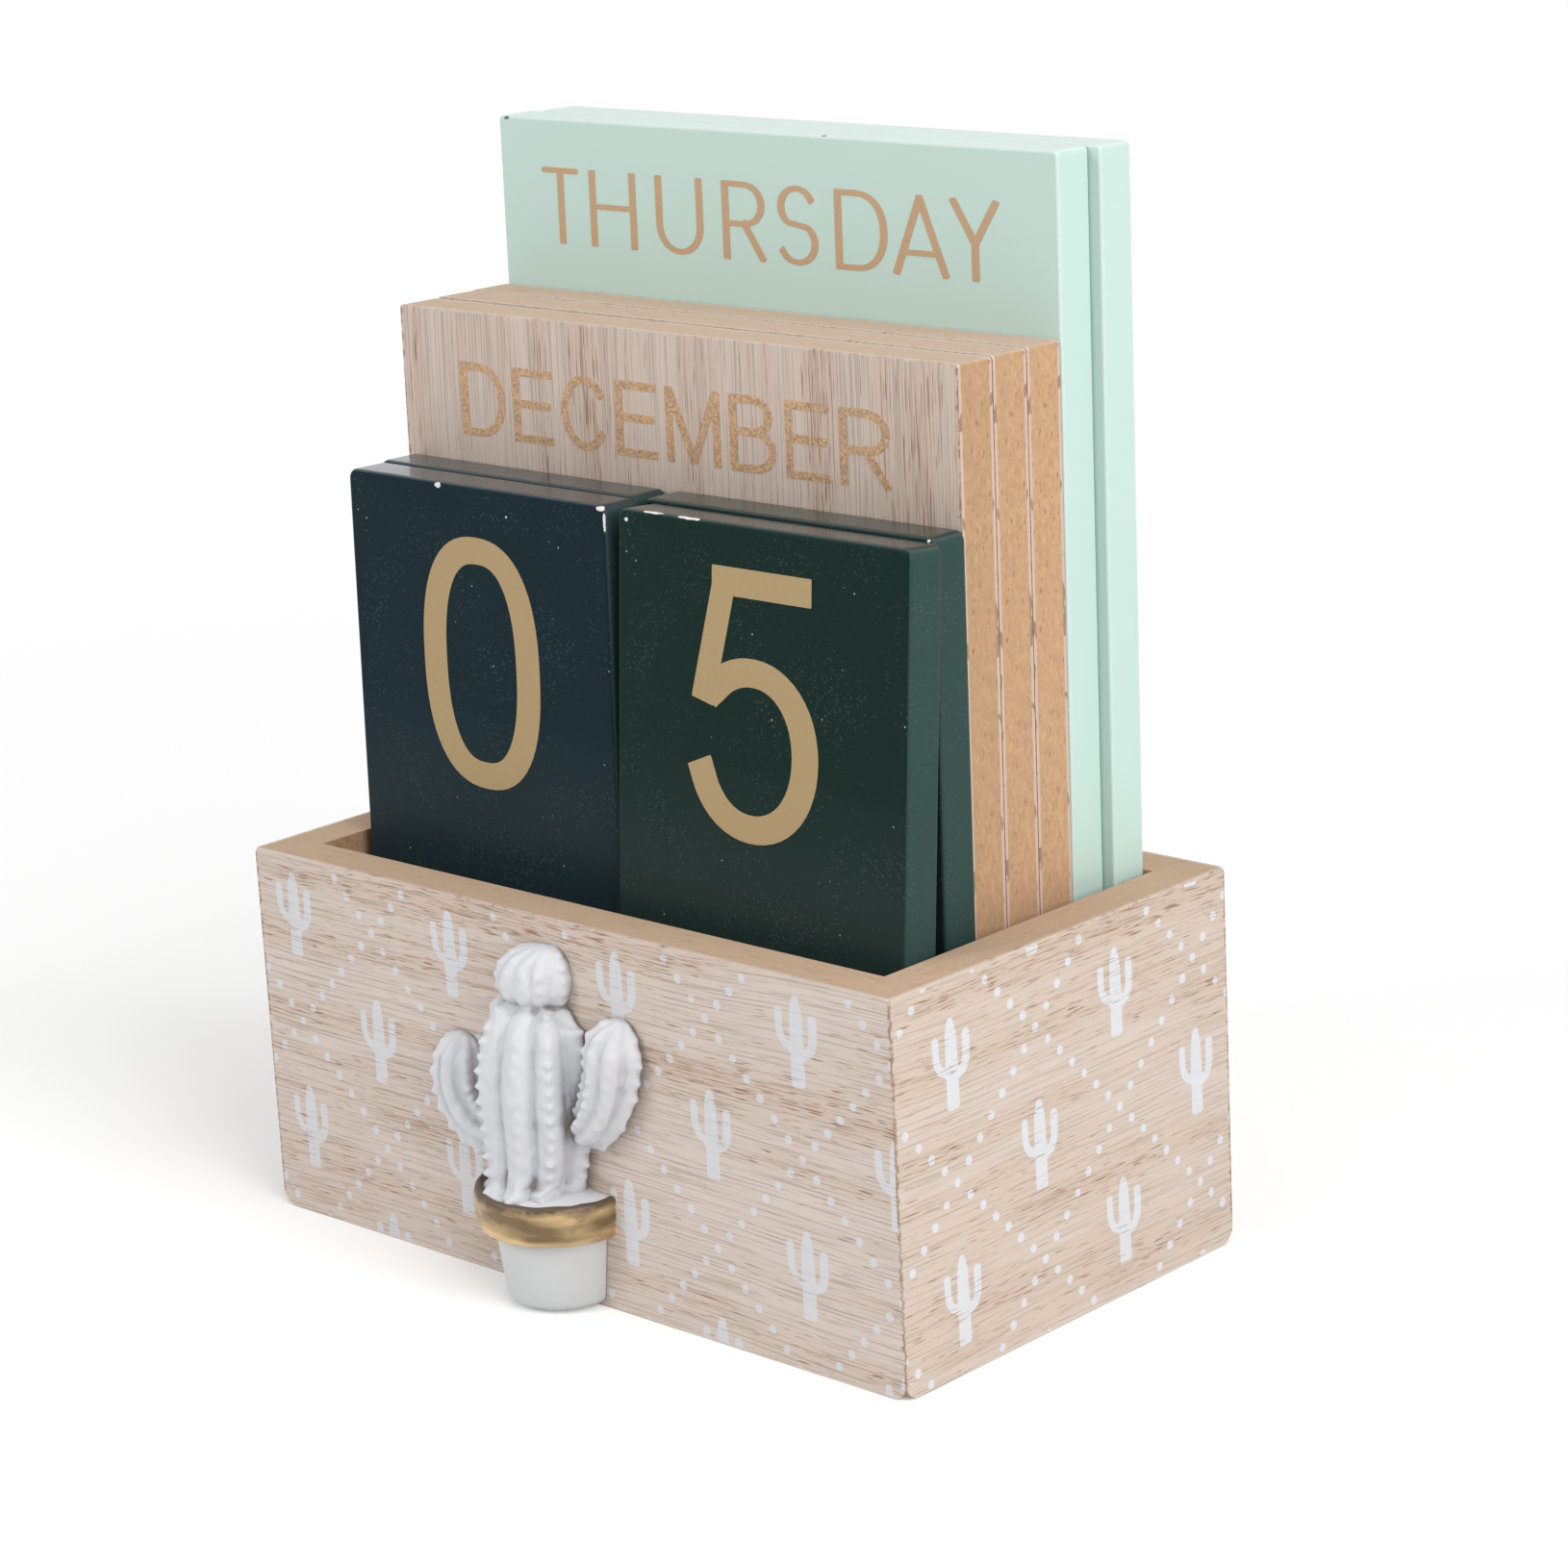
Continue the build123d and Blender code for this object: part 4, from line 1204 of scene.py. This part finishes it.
# Per limb: its stations, its ribs, the depth of its creases, the scale of its spines and of their spacing, a
# number that picks its unevenness, and whether its cuts stay level.
LIMBS = (
    (  # body: narrow at the soil, widest above the arms, sloping shoulders
        [
            (-2.5, 13.8, 0, 6.5, 1.2), (-2.7, 15.5, 0, 6.95, 1.5), (-2.9, 17.2, 0, 7.2, 1.22),
            (-2.8, 21.4, 0, 8.1, 1.04), (-2.7, 25.5, 0, 8.7, 1.0), (-2.7, 29.0, 0, 8.9, 1.0),
            (-2.6, 33.0, 0, 8.7, 0.98), (-2.5, 36.3, 0, 8.1, 0.96), (-2.5, 38.4, 0, 7.2, 0.95),
            (-2.3, 40.0, 0, 5.8, 0.95), (-2.2, 40.9, 0, 4.4, 0.95), (-2.1, 41.4, 0, 2.4, 0.95),
        ],
        [
            (8, 0.9), (42, 0.8), (73, 0.12), (119, 1.15), (158, 0.7), (225, 0), (270, 0), (315, 0.5),
            (345, 0.5),
        ],
        0.17, 1.0, 1.0, 1.0, False,
    ),
    (  # head: a flattened ball
        [
            (-2.3, 40.3, 0, 3.9, 1.0), (-2.35, 40.9, 0, 4.9, 1.0), (-2.4, 42.1, 0, 5.6, 1.0),
            (-2.35, 43.7, 0, 5.8, 1.0), (-2.2, 45.3, 0, 5.5, 1.0), (-1.9, 46.5, 0, 4.8, 1.0),
            (-1.4, 47.4, 0, 3.6, 1.0), (-0.8, 47.9, 0, 2.2, 1.0), (-0.3, 48.1, 0, 0.7, 1.0),
        ],
        [(14, 0.8), (49, 0.25), (72, 0.2), (105, 0.45), (136, 0.9), (165, 0.7), (225, 0), (270, 0), (315, 0)],
        0.09, 0.8, 0.85, 2.0, True,
    ),
    (  # right arm, out of the body and up
        [
            (4.6, 24.4, 1.2, 2.2, 0.95), (6.6, 25.3, 1.4, 3.0, 0.95), (8.3, 26.8, 1.5, 3.45, 0.95),
            (9.9, 29.2, 1.5, 3.7, 0.95), (10.9, 31.8, 1.4, 3.95, 0.95), (11.5, 34.6, 1.4, 4.15, 0.95),
            (11.8, 37.2, 1.2, 4.05, 0.95), (12.2, 39.0, 0.9, 3.0, 0.95), (12.5, 40.0, 0.7, 1.8, 0.95),
            (12.6, 40.5, 0.6, 0.7, 0.95),
        ],
        [(-1, 1.0), (60, 0.3), (105, 0.9), (150, 0.8), (200, 0), (250, 0), (305, 0.5)],
        0.24, 0.8, 1.0, 3.0, False,
    ),
    (  # left arm, out and up
        [
            (-6.0, 19.8, 0.8, 2.6, 0.95), (-9.5, 20.4, 1.0, 3.3, 0.95), (-13.6, 21.4, 1.0, 3.8, 0.95),
            (-16.2, 23.8, 1.0, 4.0, 0.95), (-17.5, 27.2, 1.0, 4.0, 0.95), (-17.5, 30.4, 0.9, 3.6, 0.95),
            (-17.2, 32.1, 0.7, 2.6, 0.95), (-17.0, 33.0, 0.5, 1.0, 0.95),
        ],
        [(-10, 0.3), (37, 1.0), (88, 0.3), (132, 1.0), (172, 0.9), (230, 0), (290, 0)],
        0.22, 0.8, 1.0, 4.0, False,
    ),
)
# Where the middle of the pot and of its rim stand along the wall, in millimetres.
POT_X, RIM_X = -1.7, -2.0
# Their profiles from the foot up: height, half width and depth, in millimetres.
POT = (
    (0.5, 6.4, 6.6), (0.62, 6.95, 7.15), (0.95, 7.35, 7.5), (1.5, 7.6, 7.75), (4.0, 7.85, 8.0),
    (10.4, 8.6, 8.7), (11.4, 8.7, 8.8),
)
RIM = (
    (10.1, 9.2, 9.1), (10.15, 9.8, 9.7), (10.5, 10.3, 10.25), (11.3, 10.6, 10.55), (12.8, 10.7, 10.65),
    (14.4, 10.75, 10.7), (15.2, 10.8, 10.75), (15.62, 10.7, 10.6), (15.82, 10.35, 10.25), (15.75, 9.9, 9.8),
    (15.35, 9.6, 9.45), (13.5, 9.3, 9.2), (10.6, 8.8, 8.7),
)
RIM_TOP = 15.8  # the upper edge of the rim, where its gold paint is torn, in millimetres
SOIL = (
    (13.4, 9.6, 9.5), (15.2, 9.7, 9.6), (15.6, 9.2, 9.1), (15.85, 7.0, 7.0), (15.9, 3.0, 3.0),
    (15.9, 0.1, 0.1),
)


def cast_piece(name, corners, faces, finish, smooth):
    """Makes a piece that stands for the packed cactus."""
    return new_piece(name, corners, faces, finish, "tray", ("cactus_ornament",), smooth)


class CALENDAR_OT_cactus(bpy.types.Operator):
    """Model the cast cactus, its soil, the gold rim and the pot"""

    bl_idname = "calendar.cactus"
    bl_label = "Cactus and pot"

    def execute(self, context):
        cast = context.scene.calendar_cactus
        tooth, spacing = cast.tooth / MM, cast.spacing / MM
        resin = painted_resin("painted_resin_cactus", cast.resin, cast.hollow, cast.grime_and_shade, 0.5)
        white = painted_resin("satin_white_pot", cast.pot, cast.hollow, cast.grime_and_shade, 0.38)
        gold = brushed_gold_paint("brushed_gold_rim", cast.rim, cast.rim_dark, RIM_TOP)
        corners, faces = [], []
        for stations, ribs, groove, spines, gaps, seed, level in LIMBS:
            points, made = limb(stations, ribs, groove, tooth * spines, spacing * gaps, seed, level)
            faces += [[i + len(corners) for i in face] for face in made]
            corners += [tuple(v * MM for v in p) for p in points]
        cactus = cast_piece("cactus_cast", corners, faces, resin, False)
        joined_cast(cactus, cast.voxel)
        bake_painted_shade(cactus, reach=2.2 * MM, rays=14)
        pot = cast_piece("cactus_pot", *half_turned(POT, POT_X, 0.05), white, True)
        # Painted shade along the back edge of the pot, where it meets the wall.
        shade_back_edge(pot)
        cast_piece("cactus_pot_rim", *half_turned(RIM, RIM_X, 0.16, ring=True), gold, True)
        cast_piece("cactus_soil", *half_turned(SOIL, RIM_X, 0.32), resin, True)
        return {"FINISHED"}


# -------------------------------------------------------------------------------- stage

# Per lamp: where it stands and how wide it is, in metres.
LAMPS = {
    "key": ((0.85, -0.12, 0.62), 0.9),
    "fill": ((-0.45, -0.95, 0.72), 0.4),
    "top": ((0.0, 0.1, 1.2), 0.8),
}
AIM = Vector((0.0, 0.0, 0.06))


def seen_directly(tree):
    """One for what the camera sees straight or mirrored in metal and glass, nothing for the light of the
    room."""
    paths = add(tree, "LightPath").node.outputs
    direct = add(tree, "Math", (paths["Is Camera Ray"], paths["Is Glossy Ray"]), operation="MAXIMUM")
    return add(tree, "Math", (direct, paths["Is Transmission Ray"]), operation="MAXIMUM")


def matt_floor(tone):
    """Matt pale board. Seen directly it fades to white away from the calendar and keeps the shadow near
    it."""
    material, tree = new_finish("matt_floor")
    here = add(tree, "TexCoord", out="Object")
    fine = add(tree, "TexNoise", {"Vector": here, "Scale": 300.0, "Detail": 2.0})
    tint = layered(tree, rgba(tone), (fine, rgba(tone, 0.985)))
    matt = add(tree, "BsdfDiffuse", {"Color": tint, "Roughness": 0.5})
    seen = seen_directly(tree)
    lifted = add(tree, "Math", (seen, 0.18), operation="MULTIPLY")
    lift = add(tree, "Emission", {"Color": (1, 1, 1, 1), "Strength": lifted})
    near = add(tree, "AddShader", (matt, lift))
    glow = add(tree, "Emission", {"Color": (1, 1, 1, 1), "Strength": 1.0})
    away = add(tree, "VectorMath", (here,), operation="LENGTH")
    far = add(tree, "MapRange", (away, 0.12, 0.45), interpolation_type="SMOOTHSTEP")
    share = add(tree, "Math", (far, seen), operation="MULTIPLY")
    add(tree, "OutputMaterial", (add(tree, "MixShader", (share, near, glow)),))
    return material


class CALENDAR_OT_stage(bpy.types.Operator):
    """Set the camera, the floor, the lamps and the room light"""

    bl_idname = "calendar.stage"
    bl_label = "Stage"

    def execute(self, context):
        scene, stage = context.scene, context.scene.calendar_stage
        lens = bpy.data.cameras.new("camera")
        lens.lens, lens.sensor_width = stage.lens, 36.0
        lens.clip_start, lens.clip_end = 0.01, 100.0
        camera = bpy.data.objects.new("camera", lens)
        scene.collection.objects.link(camera)
        turned = (
            Matrix.Rotation(stage.heading, 4, "Z") @ Matrix.Rotation(math.pi / 2 - stage.dip, 4, "X")
            @ Matrix.Rotation(stage.roll, 4, "Z")
        )
        camera.matrix_world = Matrix.Translation(stage.camera_at) @ turned
        scene.camera = camera

        for name, (at, wide) in LAMPS.items():
            lamp = bpy.data.lights.new(name, "AREA")
            lamp.shape, lamp.size, lamp.energy = "SQUARE", wide, getattr(stage, name)
            holder = bpy.data.objects.new(name, lamp)
            scene.collection.objects.link(holder)
            holder.location = at
            holder.rotation_euler = (AIM - Vector(at)).to_track_quat("-Z", "Y").to_euler()

        work = bmesh.new()
        bmesh.ops.create_circle(work, cap_ends=True, segments=96, radius=3.0)
        mesh = bpy.data.meshes.new("floor")
        work.to_mesh(mesh)
        work.free()
        mesh.materials.append(matt_floor(stage.floor))
        floor = bpy.data.objects.new("floor", mesh)
        scene.collection.objects.link(floor)

        scene.world = bpy.data.worlds.new("room")
        scene.world.use_nodes = True
        tree = scene.world.node_tree
        tree.nodes.clear()
        strength = add(tree, "MapRange", (seen_directly(tree), 0.0, 1.0, stage.sky, 1.0))
        room = add(tree, "Background", {"Color": (1, 1, 1, 1), "Strength": strength})
        add(tree, "OutputWorld", (room,))
        scene.view_settings.view_transform = "Standard"
        return {"FINISHED"}


OPERATORS = (
    CALENDAR_OT_stage, CALENDAR_OT_tray, CALENDAR_OT_tiles, CALENDAR_OT_months, CALENDAR_OT_weekdays,
    CALENDAR_OT_cactus,
)


class CALENDAR_PT_panel(bpy.types.Panel):
    """Lists the pieces of the calendar and their settings"""

    bl_idname = "CALENDAR_PT_panel"
    bl_label = "Desk calendar"
    bl_space_type = "VIEW_3D"
    bl_region_type = "UI"
    bl_category = "Desk calendar"

    def draw(self, context):
        for operator in OPERATORS:
            self.layout.operator(operator.bl_idname)
        for name, group in GROUPS.items():
            box = self.layout.box()
            box.label(text=group.__doc__)
            for setting in group.__annotations__:
                box.prop(getattr(context.scene, name), setting)


def register():
    for kind in (*GROUPS.values(), *OPERATORS, CALENDAR_PT_panel):
        bpy.utils.register_class(kind)
    for name, group in GROUPS.items():
        setattr(bpy.types.Scene, name, bpy.props.PointerProperty(type=group))


def unregister():
    for name in GROUPS:
        delattr(bpy.types.Scene, name)
    for kind in (CALENDAR_PT_panel, *reversed(OPERATORS), *reversed(GROUPS.values())):
        bpy.utils.unregister_class(kind)


def main():
    register()
    bpy.ops.calendar.stage()
    bpy.ops.calendar.tray()
    bpy.ops.calendar.tiles()
    bpy.ops.calendar.months()
    bpy.ops.calendar.weekdays()
    bpy.ops.calendar.cactus()


if __name__ == "__main__":
    main()
